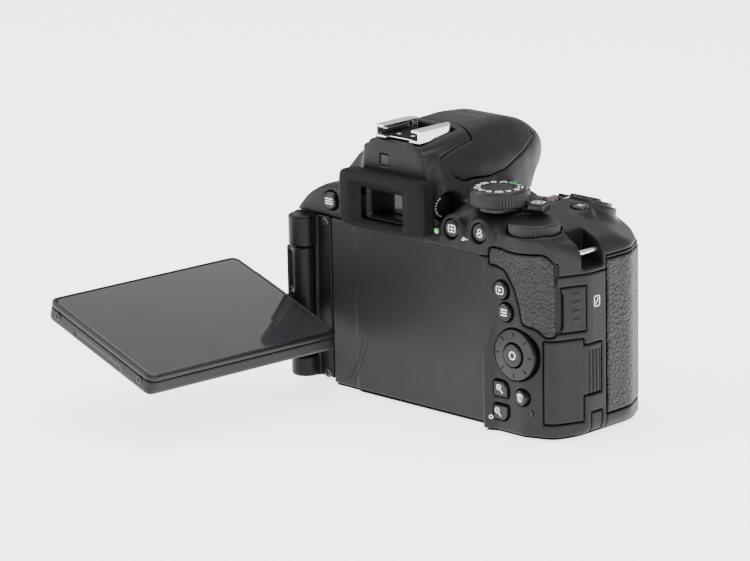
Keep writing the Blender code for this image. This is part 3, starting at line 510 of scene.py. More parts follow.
def inward(corners, inset):
    """Corners of a counter-clockwise outline moved inwards, with their radii."""
    moved, count = [], len(corners)
    for i, (a, b, radius) in enumerate(corners):
        here = Vector((a, b))
        first = (here - Vector(corners[i - 1][:2])).normalized()
        second = (Vector(corners[(i + 1) % count][:2]) - here).normalized()
        normal = Vector((-first.y - second.y, first.x + second.x)).normalized()
        spot = here + normal * inset / max(0.4, normal.dot(Vector((-first.y, first.x))))
        moved.append((*spot, max(radius - inset, 0.02)))
    return moved


def turned(name, profile, centre, axis, steps, look, body_name=None, teeth=0, **more):
    """A turned piece: (radius, height, tooth depth) rings about an axis through the centre."""
    loops = []
    for radius, height, *rest in profile:
        depth = rest[0] if rest else 0.0
        ring = []
        for i in range(steps):
            turn = 2 * math.pi * i / steps
            size = radius - depth * (0.5 + 0.5 * math.cos(teeth * turn)) ** 1.5 if teeth else radius
            a, b = centre[0] + size * math.cos(turn), centre[1] + size * math.sin(turn)
            ring.append({"X": (height, a, b), "Y": (a, height, b), "Z": (a, b, height)}[axis])
        loops.append(ring)
    return loft(name, loops, look, body_name, **more)


# ---------------------------------------------------------------- markings


def stroke(points, width):
    """Straight strokes between points, as polygons."""
    shapes = []
    for start, end in zip(points, points[1:]):
        start, end = Vector(start), Vector(end)
        along = (end - start).normalized() * (width / 2)
        aside = Vector((-along.y, along.x))
        start, end = start - along, end + along
        shapes.append([start - aside, end - aside, end + aside, start + aside])
    return shapes


def circle(centre, radius, width=0.0, steps=20):
    """A disc, or a ring of some width, as polygons."""
    turns = [2 * math.pi * i / steps for i in range(steps)]
    ring = [Vector((math.cos(turn), math.sin(turn))) for turn in turns]
    centre = Vector(centre)
    if not width:
        return [[centre + p * radius for p in ring]]
    inner, outer = radius - width / 2, radius + width / 2
    return [[centre + p * inner, centre + q * inner, centre + q * outer, centre + p * outer][::-1]
            for p, q in zip(ring, ring[1:] + ring[:1])]


def frame_mark(a, b, width):
    """The outline of a rectangle, from its half sides."""
    return stroke([(-a, -b), (a, -b), (a, b), (-a, b), (-a, -b)], width)


def bars(count, half, pitch, width):
    """Level strokes above one another."""
    shapes = []
    for i in range(count):
        height = (i - (count - 1) / 2) * pitch
        shapes += stroke([(-half, height), (half, height)], width)
    return shapes


def plate(centre, u, v, turn=0.0):
    """The frame of a flat marking, from its centre and its two directions."""
    u, v = Vector(u).normalized(), Vector(v).normalized()
    basis = Matrix((u, v, u.cross(v))).transposed().to_4x4()
    return Matrix.Translation(Vector(centre) * MM) @ basis @ Matrix.Rotation(turn, 4, "Z")


def mark(name, shapes, place, look, body_name="camera"):
    """A thin marking that stands a hair proud of its surface. Most are print; the dark ones on screws and the
    selector ring are painted shade, and the white dot on the status lamp is a painted glow.
    """
    bm = bmesh.new()
    for shape in shapes:
        top = [bm.verts.new(Vector((p[0], p[1], MARK_PROUD)) * MM) for p in shape]
        bottom = [bm.verts.new(Vector((p[0], p[1], MARK_ROOT)) * MM) for p in shape]
        bm.faces.new(top)
        bm.faces.new(bottom[::-1])
        for i in range(len(top)):
            j = (i + 1) % len(top)
            bm.faces.new((bottom[i], bottom[j], top[j], top[i]))
    bmesh.ops.recalc_face_normals(bm, faces=bm.faces)
    mesh = bpy.data.meshes.new(name)
    bm.to_mesh(mesh)
    bm.free()
    mesh.transform(place)
    return add_object(name, mesh, look, body_name)


# ---------------------------------------------------------------- materials


def node(tree, kind, **values):
    """A shader node. A value is set on the node if it has that name, or else on its input."""
    made = tree.nodes.new(kind)
    for key, value in values.items():
        if hasattr(made, key):
            setattr(made, key, value)
        else:
            made.inputs[key.replace("_", " ")].default_value = value
    return made


def wire(tree, *links):
    """Links sockets, each pair given as (node, output, node, input)."""
    for start, output, end, entry in links:
        tree.links.new(start.outputs[output], end.inputs[entry])


def surface(name, colour, rough, grain=1600.0, grain_depth=0.05, metallic=0.0, leather=0.0, specular=0.5,
            vary=0.18, brushed=False):
    """A moulded, rubbed or brushed finish: colour drift, uneven gloss and a fine grain."""
    material = bpy.data.materials.new(name)
    material.use_nodes = True
    tree = material.node_tree
    shader = tree.nodes["Principled BSDF"]
    shader.inputs["Metallic"].default_value = metallic
    shader.inputs["Specular IOR Level"].default_value = specular
    place = node(tree, "ShaderNodeTexCoord")
    drift = node(tree, "ShaderNodeTexNoise", Scale=55.0, Detail=4.0, Roughness=0.6)
    fine = node(tree, "ShaderNodeTexNoise", Scale=grain, Detail=3.0, Roughness=0.55)
    if brushed:
        stretch = node(tree, "ShaderNodeMapping", Scale=(1.0, 0.06, 1.0))
        wire(tree, (place, "Object", stretch, "Vector"), (stretch, "Vector", fine, "Vector"))
    else:
        wire(tree, (place, "Object", fine, "Vector"))
    tint = node(tree, "ShaderNodeValToRGB")
    for stop, position, factor in zip(tint.color_ramp.elements, (0.3, 0.72), (1 - vary, 1 + vary)):
        stop.position = position
        stop.color = (*[c * factor for c in colour], 1.0)
    gloss = node(tree, "ShaderNodeMapRange", From_Min=0.3, From_Max=0.7, To_Min=rough * 0.86,
                 To_Max=min(1.0, rough * 1.12))
    bump = node(tree, "ShaderNodeBump", Strength=0.35, Distance=grain_depth * MM)
    wire(tree, (place, "Object", drift, "Vector"), (drift, "Fac", tint, "Fac"),
         (tint, "Color", shader, "Base Color"), (fine, "Fac", gloss, "Value"),
         (gloss, "Result", shader, "Roughness"), (fine, "Fac", bump, "Height"),
         (bump, "Normal", shader, "Normal"))
    if leather:
        hide(tree, place, bump, leather)
    return material


def hide(tree, place, bump, pitch):
    """Creased leather grain: cells pulled about by noise, with rounded tops."""
    stir = node(tree, "ShaderNodeTexNoise", Scale=900.0 / pitch, Detail=2.0)
    mix = node(tree, "ShaderNodeMix", data_type="RGBA", Factor=0.0012)
    wire(tree, (place, "Object", stir, "Vector"), (place, "Object", mix, "A"), (stir, "Color", mix, "B"))
    cells = node(tree, "ShaderNodeTexVoronoi", Scale=1000.0 / pitch, feature="SMOOTH_F1", Smoothness=0.6)
    raised = node(tree, "ShaderNodeBump", Strength=1.0, Distance=0.6 * MM, invert=True)
    wire(tree, (mix, "Result", cells, "Vector"), (cells, "Distance", raised, "Height"),
         (bump, "Normal", raised, "Normal"), (raised, "Normal", tree.nodes["Principled BSDF"], "Normal"))


def make_looks():
    dark, pale = (0.0085, 0.0085, 0.0088), (0.74, 0.74, 0.75)
    LOOKS.update({
        "plastic": surface("moulded_plastic", dark, 0.46, 2200.0, 0.06, specular=0.21),
        "smooth": surface("smooth_plastic", (0.007, 0.007, 0.0073), 0.34, 1200.0, 0.02, specular=0.26),
        "hinge": surface("hinge_plastic", (0.005, 0.005, 0.0052), 0.36, 1200.0, 0.02, specular=0.15),
        "key": surface("key_plastic", (0.004, 0.004, 0.0043), 0.30, 900.0, 0.02, specular=0.3),
        "dial": surface("dial_plastic", (0.0075, 0.0078, 0.008), 0.40, 1500.0, 0.03, specular=0.32),
        "grip": surface("grip_rubber", (0.007, 0.007, 0.0073), 0.48, 2600.0, 0.04, 0.0, 1.0, specular=0.33),
        "rubber": surface("eyecup_rubber", (0.0055, 0.0055, 0.0058), 0.62, 1900.0, 0.05, specular=0.1),
        "cover": surface("soft_cover", (0.008, 0.008, 0.0083), 0.55, 2000.0, 0.05, specular=0.24),
        "steel": surface("brushed_steel", pale, 0.24, 3500.0, 0.02, 1.0, vary=0.05, brushed=True),
        "screw": surface("blackened_screw", (0.05, 0.05, 0.052), 0.34, 2500.0, 0.02, 0.9),
        # Partly painted reflection: the glass's grey is lifted above the screen's own near-black to stand for
        # the pale surround it reflects.
        "glass": surface("display_glass", (0.026, 0.026, 0.029), 0.06, 500.0, 0.001, specular=0.95, vary=0.1),
        "lens": surface("clear_window", (0.004, 0.005, 0.006), 0.05, 500.0, 0.001, specular=0.3, vary=0.1),
        # Also the white of the status lamp's painted glow.
        "white": surface("white_print_and_painted_glow", (0.82, 0.82, 0.82), 0.55, 2500.0, 0.02, vary=0.04),
        "green": surface("green_print", (0.10, 0.42, 0.12), 0.5, 2500.0, 0.02, vary=0.06),
        "red": surface("red_key", (0.040, 0.005, 0.004), 0.28, 900.0, 0.01, vary=0.1),
        # Also the finish of the painted shade: the screw crosses, the selector ticks and the strap recess
        # lining.
        "inner": surface("inner_plastic_and_painted_shade", (0.005, 0.005, 0.005), 0.7, 1800.0, 0.06, specular=0.1),
        "board": surface("circuit_board", (0.015, 0.09, 0.04), 0.45, 1400.0, 0.08, vary=0.4),
        "mirror": surface("silvered", (0.86, 0.87, 0.88), 0.04, 400.0, 0.001, 1.0, vary=0.02),
        "label": surface("cell_casing", (0.10, 0.10, 0.11), 0.45, 1400.0, 0.03, vary=0.2),
    })


# ---------------------------------------------------------------- covers


def make_top_cover():
    def field(s):
        whole = smin(smin(body(s), shoulders(s), 4.0), housing(s), 1.4)
        behind_flash = side_box(s, (-HOUSING_HALF, -40, 40), (HOUSING_HALF, 5.0, 110))
        flash_room = np.maximum(-flash_line(s), -behind_flash)
        cover = smax(whole, -(whole + WALL), 0.2)
        roof_line = [(4.0, 60.0), (24.0, 60.0), (24.0, 80.0), (20.0, 84.0), (4.8, 91.0), (4.0, 91.0)]
        roof = smax(polygon(roof_line, s.y, s.z), np.abs(s.x) - 13.4, 0.6)
        cover = smax(cover, SEAM - flash_room, 0.4)
        cover = np.minimum(cover, smax(roof, -(roof + 1.2), 0.2))
        cover = apart(cover, lid(s))
        tilted = s.turned(SHUTTER, ACROSS, -GRIP_SLOPE)
        x, y, z = SHUTTER
        for hollow, wall in (
            (rod(s, "Z", COMMAND, COMMAND_R + 0.55, 66.6, 95.0, 0.6), 1.2),
            (box(s, (63.4, -4.4, 57.4), (90.0, 5.5, 69.8), 1.2), 1.0),
            (box(s, (-70.0, -2.5, 61.9), (LEFT + 5.0, 5.4, 66.4), 1.0), 1.0),
            (rod(s, "X", (DIOPTER_Y, DIOPTER_Z), 5.5, 14.4, 24.0, 0.6), 1.0),
            (rod(tilted, "Z", (x, y), 9.75, z - 2.2, z + 12.0, 0.4), 1.0),
        ):
            cover = pocket(cover, whole, hollow, wall)
        band = [("Y", key[:2], key[2] + 0.32, -40.0, -8.0, 0.6) for key in BAND_KEYS.values()]
        cover = holes(s, cover, *band, ("Z", MOVIE, 2.9, 60.0, 90.0, 0.6),
                      ("Z", COMPENSATION, 3.3, 60.0, 90.0, 0.6), ("Z", MODE, 3.3, 60.0, 90.0, 0.4))
        cover = slots(s, cover, ((-12.9, -40, 65.3), (12.9, -6.0, 76.7), 1.0, 0.4),
                      ((-5.95, -30, 83.65), (-1.65, -14.0, 87.75), 0.3, 0.3),
                      ((-10.6, -19.0, 92.0), (10.6, 1.9, 99.0), 0.3, 0.3))
        return holes(s, cover, ("Y", FLASH_KEY, 2.8, 8.0, 60.0, 0.5))

    sculpt("top_cover", field, (-54, -21.5, 54), (75, 46.5, 98.5), 0.42, "plastic")


def make_flash():
    middle = (0.0, 31.4, 85.5)

    def field(s):
        whole = body(s)
        head = smax(whole, -flash_line(s) + SEAM, 0.5)
        outside = side_box(s, (-HOUSING_HALF, -40, 40), (HOUSING_HALF, 5.3, 130))
        head = smax(head, -outside + SEAM, 0.5)
        room = smax(whole + 1.6, side_box(s, (-HOUSING_HALF, 4.0, 60.0), (HOUSING_HALF, 25.4, 120.0)), 0.3)
        head = cut(head, room, 0.3)
        y, z = middle[1:]
        head = slots(s.turned(middle, ACROSS, FLASH_TILT), head,
                     ((-14.0, y - 5.4, z - 3.0), (14.0, y + 5.4, z + 2.0), 0.5, 0.4))
        groove = np.abs(box(s, (-11.0, 6.4, 95.0), (11.0, 21.0, 99.0), 0.4)) - 0.16
        return cut(head, np.maximum(groove, 95.4 - s.z), 0.2)

    sculpt("flash_head", field, (-22, -12.5, 77), (22, 46.5, 98.5), 0.36, "plastic", "flash")
    tilt = Matrix.Translation(Vector((0.0, 31.4, 85.53)) * MM) @ Matrix.Rotation(FLASH_TILT, 4, "X")
    ribs = [(-5.0 + 10.0 * i / 40, 0.3 + 0.25 * (i % 2)) for i in range(41)]
    loops = [[(x, a, h) for a, h in ribs] + [(x, 5.0, 1.6), (x, -5.0, 1.6)] for x in (-13.6, 13.6)]
    loft("flash_lens", loops, "lens", "flash", place=tilt, sharp=20)


def make_rear_cover():
    def field(s):
        whole = body(s)
        arcs = np.sqrt((s.x + 60.0) ** 2 + (s.z - 30.0) ** 2)
        lines = np.minimum(np.abs(arcs - 42.0), np.abs(arcs - 44.0)) - 0.12
        lines = np.maximum(lines, np.abs(s.z - 12.0) - 8.0)
        whole = cut(whole, np.maximum(lines, BAY_Y - 0.6 - s.y), 0.2)
        cover = smax(whole, -(whole + WALL), 0.2)
        cover = apart(cover, -lid(s), s.y - FRONT_SEAM_Y, BASE_Z - s.z)
        cover = cut(cover, smax(thumb_share(s) - 0.22, -(whole + 1.5), 0.3), 0.4)
        for share in (card_share(s), hdmi_share(s), terminal_share(s), flap_share(s)):
            cover = smax(cover, -(share - SEAM), 0.4)
        cover = pocket(cover, whole, rod(s, "Y", SELECTOR, SELECTOR_R + 0.35, -30.0, -14.4, 0.4), 0.5)
        panel = [("Y", key[:2], key[2] + 0.3, -40.0, -10.0, 0.5) for key in PANEL_KEYS.values()]
        cover = holes(s, cover, *panel)
        for low, high, upper in ZOOM_KEYS.values():
            opening = polygon(zoom_outline(low, high, upper, -0.3), s.x, s.z)
            cover = cut(cover, np.maximum(opening, s.y + 10.0), 0.4)
        return cover

    sculpt("rear_cover", field, (-54, -21.5, 1.2), (75, 8.0, 65.5), 0.42, "plastic")


def make_front_cover():
    def field(s):
        whole = body(s)
        cover = smax(whole, -(whole + WALL), 0.2)
        cover = apart(cover, -lid(s), FRONT_SEAM_Y - s.y, BASE_Z - s.z)
        cover = cut(cover, smax(grip_share(s) - 0.2, -(whole + 1.4), 0.3), 0.4)
        return holes(s, cover, ("Y", (0, AXIS_Z), 23.4, 30.0, 60.0, 0.4),
                     ("Y", RELEASE, 5.3, 10.0, 60.0, 0.4), ("Z", TRIPOD, 7.3, -5.0, 12.0, 0.3),
                     ("Y", LOCK_PIN, 1.5, 36.0, 60.0, 0.3))

    sculpt("front_cover", field, (-54, 5.5, 1.2), (75, 44.8, 71.5), 0.42, "plastic")


def make_base_cover():
    def field(s):
        base = holes(s, apart(body(s), s.z - BASE_Z), ("Z", TRIPOD, 7.3, -5.0, 10.0, 0.3))
        return slots(s, base, ((45.8, -7.7, -5.0), (64.2, 27.8, 10.0), 1.6, 0.3),
                     ((40.0, 8.8, -5.0), (45.4, 16.2, 10.0), 0.4, 0.3))

    sculpt("base_cover", field, (-54, -21.5, -1.2), (75, 40.5, 3.4), 0.42, "plastic")


def skin(share, depth, proud=0.0, extra=None):
    """The outer layer of the body within a share."""
    def field(s):
        whole = body(s) - proud
        layer = smax(smax(whole, -(whole + depth + proud), 0.2), share(s) + SEAM, 0.9)
        return extra(s, layer, whole) if extra else layer
    return field


def card_ridges(s, layer, whole):
    """Four finger ridges on the door's tab, and two lines in the shape of a card."""
    for i in range(4):
        y = -1.8 + 1.6 * i
        groove = np.maximum(np.abs(s.y - y) - 0.36, np.abs(s.z - 22.4) - 7.6)
        layer = cut(layer, np.maximum(groove, -(whole + 0.75)), 0.3)
    for edge in (0.0, 0.9):
        card = np.abs(box(s, (72.0, -12.4 + edge, 20.0 + edge), (76.0, -7.6 - edge, 28.0 - edge), 0.1)) - 0.16
        layer = cut(layer, np.maximum(card, -(whole + 0.25)), 0.2)
    return layer


def hdmi_grip(s, layer, whole):
    """A finger slot along the cover's rear edge and a row of plain raised bars."""
    slot = box(s, (67.0, -13.4, 38.2), (76.0, -10.4, 50.6), 1.2)
    layer = cut(layer, np.maximum(slot, -(whole + 1.1)), 0.4)
    for i in range(4):
        bar = box(s, (70.0, -7.6, 40.0 + 2.9 * i), (76.0, -5.4, 41.4 + 2.9 * i), 0.3)
        layer = np.minimum(layer, smax(bar, whole - 0.34, 0.2))
    return layer


def make_skins():
    """The rubbers and doors, which are parts of the body's outer layer."""
    flap = skin(flap_share, 1.0)

    def cut_flap(s):
        return apart(flap(s), BASE_Z + 0.3 - s.z)

    for name, field, low, high, step, look in (
        ("grip_rubber", skin(grip_share, 1.1, 0.12), (32, 5.5, 5), (75, 40.5, 60.5), 0.42, "grip"),
        ("thumb_rubber", skin(thumb_share, 1.2, 0.15), (43, -20, 34), (71, -4, 65), 0.36, "grip"),
        ("card_door", skin(card_share, 1.5, 0.0, card_ridges), (63, -18.5, 4.5), (75, 5.5, 35.5), 0.36,
         "plastic"),
        ("hdmi_cover", skin(hdmi_share, 1.6, 0.0, hdmi_grip), (67.0, -15.0, 35), (75, -1, 54), 0.3, "cover"),
        ("terminal_cover", skin(terminal_share, 1.5), (-54, -5, 12.5), (-48, 7.5, 52.5), 0.4, "cover"),
        ("power_cable_flap", cut_flap, (67.0, -2.4, 1.5), (75, 5.8, 9.8), 0.3, "cover"),
    ):
        sculpt(name, field, low, high, step, look)


# ---------------------------------------------------------------- screen and hinge


def make_hinge():
    x, y = SWING
    floor, ceiling = ARM_LOW - 0.3, ARM_HIGH + 0.3

    def mount(s):
        form = box(s, (LEFT + 0.1, -14.0, 2.5), (-34.8, -5.6, 60.2), 0.5)
        for low, high in ((2.5, floor), (ceiling, 60.0)):
            form = smin(form, rod(s, "Z", SWING, 5.2, low, high, 0.9), 1.0)
        form = cut(form, side_box(s, (-70, -40, floor), (-42.3, -7.2, ceiling)), 0.4)
        form = slots(s, form, ((-41.9, -40, -5), (-35.6, -13.2, 90), 0.5, 0.4))
        return holes(s, form, ("Z", SWING, 2.4, 4.5, 12.0, 0.2), ("Z", SWING, 2.4, 45.0, 54.0, 0.2))

    def arm(s):
        form = box(s, (x - 5.85, y - 3.3, ARM_LOW), (x + 0.05, y + 4.2, ARM_HIGH), 1.0)
        form = smin(form, rod(s, "Z", SWING, 4.0, ARM_LOW, ARM_HIGH, 0.6), 0.8)
        form = smin(form, rod(s, "Z", SWING, 2.2, 5.0, 53.5, 0.2), 0.2)
        form = slots(s, form, ((x - 4.6, y - 3.9, 33.5), (x - 1.6, y - 2.7, 46.5), 0.5, 0.5))
        return holes(s, form, ("Y", (x - HINGE_OFFSET, TILT_Z), 2.4, y - 10, y + 10, 0.4))

    sculpt("hinge_mount", mount, (-54, -22, 1), (-33.5, -4.5, 61.5), 0.3, "hinge")
    swing = Matrix.Translation(Vector((x, y, 0)) * MM)
    back = swing @ Matrix.Rotation(-SWUNG_BACK, 4, "Z") @ swing.inverted()
    sculpt("hinge_arm", arm, (-54.5, -20, 4), (-41.5, -9.5, 54.5), 0.3, "hinge", place=back)
    for z in (58.2, 3.9):
        screw("hinge_screw", plate((-38.1, -13.25, z), ACROSS, UP), "camera", 1.7)


def screw(name, place, body_name, radius):
    """A round-headed screw on a local XY plane with its head to +Z. Its cross recess is not cut: a dark cross
    of painted shade lies on the head.
    """
    profile = [(radius, -0.4), (radius, 0.1), (radius * 0.86, 0.32), (radius * 0.5, 0.42), (0.05, 0.45)]
    turned(name, profile, (0, 0), "Z", 28, "screw", body_name, place=place, slot="hinge_mount")
    long, short = radius * 0.55, radius * 0.16
    cross = []
    for ends in ([(-long, 0), (long, 0)], [(0, -long), (0, -short)], [(0, short), (0, long)]):
        cross += stroke(ends, radius * 0.24)
    # Painted shade: the cross recess is drawn as a dark cross standing on the head.
    mark(name + "_cross", cross, place @ Matrix.Translation((0, 0, 0.42 * MM)), "inner", body_name)


def screen_place():
    """From the panel's own axes to the frame's, at rest."""
    along = Vector((-math.sin(SWUNG_BACK), -math.cos(SWUNG_BACK), 0))
    across = Vector((math.cos(SWUNG_BACK), -math.sin(SWUNG_BACK), 0))
    normal = across * math.sin(SCREEN_TILT) + Vector(UP) * math.cos(SCREEN_TILT)
    turn = Matrix((along, normal.cross(along), normal)).transposed().to_4x4()
    start = Vector((*SWING, TILT_Z)) - across * HINGE_OFFSET
    return Matrix.Translation(start * MM) @ turn


def make_screen():
    place = screen_place()
    near, far, half = SCREEN_NEAR, SCREEN_FAR, SCREEN_HALF
    outline = fillet(rectangle((near, -half), (far, half), 4.0))
    screw_rows = (-23.0, 23.0)

    def lower(s):
        form = box(s, (near, -half, SCREEN_LOW), (far, half, SCREEN_TOP + 6), 1.8)
        form = smax(form, polygon(outline, s.x, s.y), 1.4)
        form = smin(form, box(s, (near - LUG_DEPTH, -18.0, -2.9), (near + 4.0, 18.0, 6.0), 0.5), 0.4)
        form = smax(form, s.z - SCREEN_PART + SEAM, 0.3)
        form = smin(form, rod(s, "X", (0, 0), 2.2, -3.6, near + 1.0, 0.2), 0.3)
        form = holes(s, form, *[("X", (v, -0.9), 1.95, far - 0.45, far + 4.0, 0.2) for v in screw_rows])
        return slots(s, form, ((far - 0.7, -13.0, -4.0), (far + 2, 13.0, -1.6), 0.3, 0.3))

    def upper(s):
        form = box(s, (near, -half, SCREEN_LOW), (far, half, SCREEN_TOP), 1.1)
        form = smax(form, polygon(outline, s.x, s.y), 0.9)
        lug = box(s, (near - LUG_DEPTH, -18.0, -3.0), (near + 4.0, 18.0, SCREEN_TOP - 0.5), 0.5)
        form = smin(form, lug, 0.4)
        form = smax(form, SCREEN_PART + SEAM - s.z, 0.3)
        window = fillet(rectangle((far - 80.6, 1.45 - half), (far - 1.45, half - 1.45), 2.9))
        form = cut(form, polygon(window, s.x, s.y), 0.4)
        return holes(s, form, ("X", (0, 0), 2.45, -5.0, near + 1.2, 0.2))

    sculpt("screen_shell", lower, (-5, -30.4, -5.6), (89.4, 30.4, 1.9), 0.36, "plastic", "screen", place)
    sculpt("screen_frame", upper, (2.9, -30.4, -0.4), (89.4, 30.4, 4.3), 0.3, "smooth", "screen", place)
    side = half - 1.65
    corners = rectangle((far - 80.4, -side), (far - 1.65, side), 2.6)
    slab("screen_glass", corners, 0.95, SCREEN_TOP - 0.12, 0.22, "glass", "screen", place)
    rim = place @ plate((far - 0.02, 0, 0), AHEAD, UP)
    for v in screw_rows:
        screw("panel_screw", rim @ Matrix.Translation((v * MM, -0.9 * MM, -0.35 * MM)), "screen", 1.5)


# ---------------------------------------------------------------- controls


def zoom_outline(low, high, upper, grow=0.0):
    """The outline of a zoom key, whose outer end has large corners."""
    left, right = 45.4, 51.4
    big, small = 2.6, 0.5
    corners = [(left, low, small), (right, low, small if upper else big),
               (right, high, big if upper else small), (left, high, small)]
    return fillet(inward(corners, grow))


def make_keys():
    for name, (x, z, size, back) in {**BAND_KEYS, **PANEL_KEYS}.items():
        front = back + (6.0 if name in BAND_KEYS else 5.0)
        dish = 0.12
        profile = [(size, front), (size, back + 0.55), (size - 0.12, back + 0.22), (size - 0.42, back),
                   (size - 0.75, back + dish * 0.5), (0.05, back + dish)]
        turned(name, profile, (x, z), "Y", 64, "key")
    for name, (low, high, upper) in ZOOM_KEYS.items():
        loops = []
        for inset, y in ((0.0, -14.5), (0.0, -18.3), (0.12, -18.65), (0.4, -18.9), (1.2, -18.82)):
            loops.append([(a, y, b) for a, b in zoom_outline(low, high, upper, inset)])
        loft(name, loops, "key")
    for name, centre, axis, steps, look, profile in (
        ("flash_button", FLASH_KEY, "Y", 48, "key", [(2.5, 10.5), (2.5, 17.6), (2.2, 18.1), (0.05, 18.2)]),
        ("movie_button", MOVIE, "Z", 48, "red",
         [(2.6, 69.5), (2.6, 73.8), (2.4, 74.3), (1.8, 74.62), (1.0, 74.72), (0.05, 74.74)]),
        ("compensation_button", COMPENSATION, "Z", 48, "key",
         [(3.0, 68.0), (3.0, 72.7), (2.85, 73.1), (2.5, 73.3), (0.05, 73.4)]),
        ("lens_release_button", RELEASE, "Y", 64, "key",
         [(5.0, 11.0), (5.0, 20.4), (4.8, 20.9), (4.3, 21.2), (3.2, 21.0), (0.05, 20.8)]),
        ("lens_lock_pin", LOCK_PIN, "Y", 24, "steel", [(1.1, 38.0), (1.1, 47.4), (0.8, 47.8), (0.05, 47.9)]),
    ):
        turned(name, profile, centre, axis, steps, look)


def make_selector():
    x, z = SELECTOR

    def ring(s):
        form = rod(s, "Y", SELECTOR, SELECTOR_R, -19.2, -16.5, 0.7)
        across = np.sqrt((s.x - x) ** 2 + (s.z - z) ** 2)
        dish = (s.y + 19.05 - 0.10 * (across - 4.3)) * 0.99
        return holes(s, smax(form, -dish, 0.3), ("Y", SELECTOR, 4.3, -30, 0, 0.5))

    sculpt("multi_selector", ring, (x - 9.4, -20, z - 9.4), (x + 9.4, -15.7, z + 9.4), 0.2, "key")
    profile = [(3.9, -16.6), (3.9, -19.1), (3.75, -19.45), (3.4, -19.6), (2.4, -19.45), (0.05, -19.35)]
    turned("ok_button", profile, SELECTOR, "Y", 64, "key")
    # Painted shade: the ring's engraved ticks are drawn as dark marks standing on it, not as grooves.
    for i in range(8):
        turn = math.pi * i / 4
        spot = (x + 6.9 * math.cos(turn), -18.84, z + 6.9 * math.sin(turn))
        tick = stroke([(-0.65, 0), (0.65, 0)], 0.34)
        mark("selector_tick", tick, plate(spot, ACROSS, UP, turn), "inner", "multi_selector")


def make_dials():
    r = MODE_R
    profile = [(r - 1.0, 75.6), (r - 0.15, 75.62), (r, 75.8, 0.0), (r, 75.95, 0.34), (r, 80.2, 0.34),
               (r - 0.1, 80.4, 0.0), (r - 0.4, 80.9), (r - 0.8, 81.1), (r - 4.4, 81.0), (r - 4.7, 80.7),
               (r - 6.5, 80.7), (0.05, 80.75)]
    turned("mode_dial", profile, MODE, "Z", 432, "dial", teeth=54, sharp=28)
    face = [(r - 0.9, 81.05), (r - 0.95, 81.13), (r - 4.3, 81.08)]
    turned("mode_dial_face", face, MODE, "Z", 96, "key", "mode_dial", slot="mode_dial", caps=False)
    stem = [(2.9, 69.0), (2.9, 75.8)]
    turned("mode_dial_stem", stem, MODE, "Z", 48, "inner", "mode_dial", slot="mode_dial")
    r = COMMAND_R
    profile = [(r - 0.4, 67.4), (r, 67.8, 0.28), (r, 71.7, 0.34), (r - 0.1, 71.95, 0.0), (r - 0.4, 72.35),
               (r - 0.8, 72.5), (r - 1.2, 72.4), (r - 4.0, 71.7), (0.05, 71.5)]
    turned("command_dial", profile, COMMAND, "Z", 480, "dial", teeth=60, sharp=28)
    stem = [(1.2, 62.5), (1.2, 67.6)]
    turned("command_dial_stem", stem, COMMAND, "Z", 32, "steel", "command_dial", slot="command_dial")

    def lever(s):
        around = s.turned((*MODE, 0), UP, LEVER_TURN)
        form = rod(s, "Z", MODE, 7.7, 73.7, 75.3, 0.3)
        form = smin(form, box(around, (44.0, -8.2, 74.5), (53.6, -2.2, 75.3), 0.3), 0.3)
        form = smin(form, box(around, (49.4, -8.4, 73.8), (55.4, -2.4, 76.7), 0.7), 0.5)
        return holes(s, form, ("Z", MODE, 3.2, 60, 90, 0.2))

    sculpt("live_view_lever", lever, (30.5, -17, 72.9), (58, 5, 77.4), 0.25, "key")
    x, y, z = SHUTTER
    place = grip_plane() @ Matrix.Translation(Vector(SHUTTER) * -MM)

    def collar(s):
        form = rod(s, "Z", (x, y), 9.3, z - 1.8, z + 0.6, 0.4)
        form = smin(form, box(s, (x - 3.2, y + 6.0, z - 0.2), (x + 3.2, y + 11.0, z + 0.3), 0.4), 0.8)
        for i in range(9):
            groove = np.abs(s.x - x + 2.4 - 0.6 * i) - 0.12
            form = cut(form, np.maximum(groove, y + 10.6 - s.y), 0.2)
        return holes(s, form, ("Z", (x, y), 5.9, z - 9, z + 9, 0.4))

    low, high = (x - 10.2, y - 10.2, z - 2.6), (x + 10.2, y + 12.4, z + 2)
    sculpt("power_collar", collar, low, high, 0.25, "smooth", place=place)
    profile = [(2.4, z - 5.0), (2.4, z - 0.9), (5.5, z - 0.8), (5.5, z + 0.8), (5.35, z + 1.2),
               (5.0, z + 1.4), (4.0, z + 1.45), (0.05, z + 1.25)]
    turned("shutter_button", profile, (x, y), "Z", 72, "key", place=place)
    profile = [(4.3, 15.0), (4.7, 15.15, 0.3), (4.7, 17.4, 0.3), (4.3, 17.9, 0.1), (3.9, 18.0), (0.05, 17.9)]
    turned("diopter_dial", profile, (DIOPTER_Y, DIOPTER_Z), "X", 208, "dial", teeth=26, sharp=28)


def grip_plane():
    """The slanted frame of the shutter button, its origin on the button's axis."""
    return Matrix.Translation(Vector(SHUTTER) * MM) @ Matrix.Rotation(-GRIP_SLOPE, 4, "X")


# ---------------------------------------------------------------- eyepiece and shoe


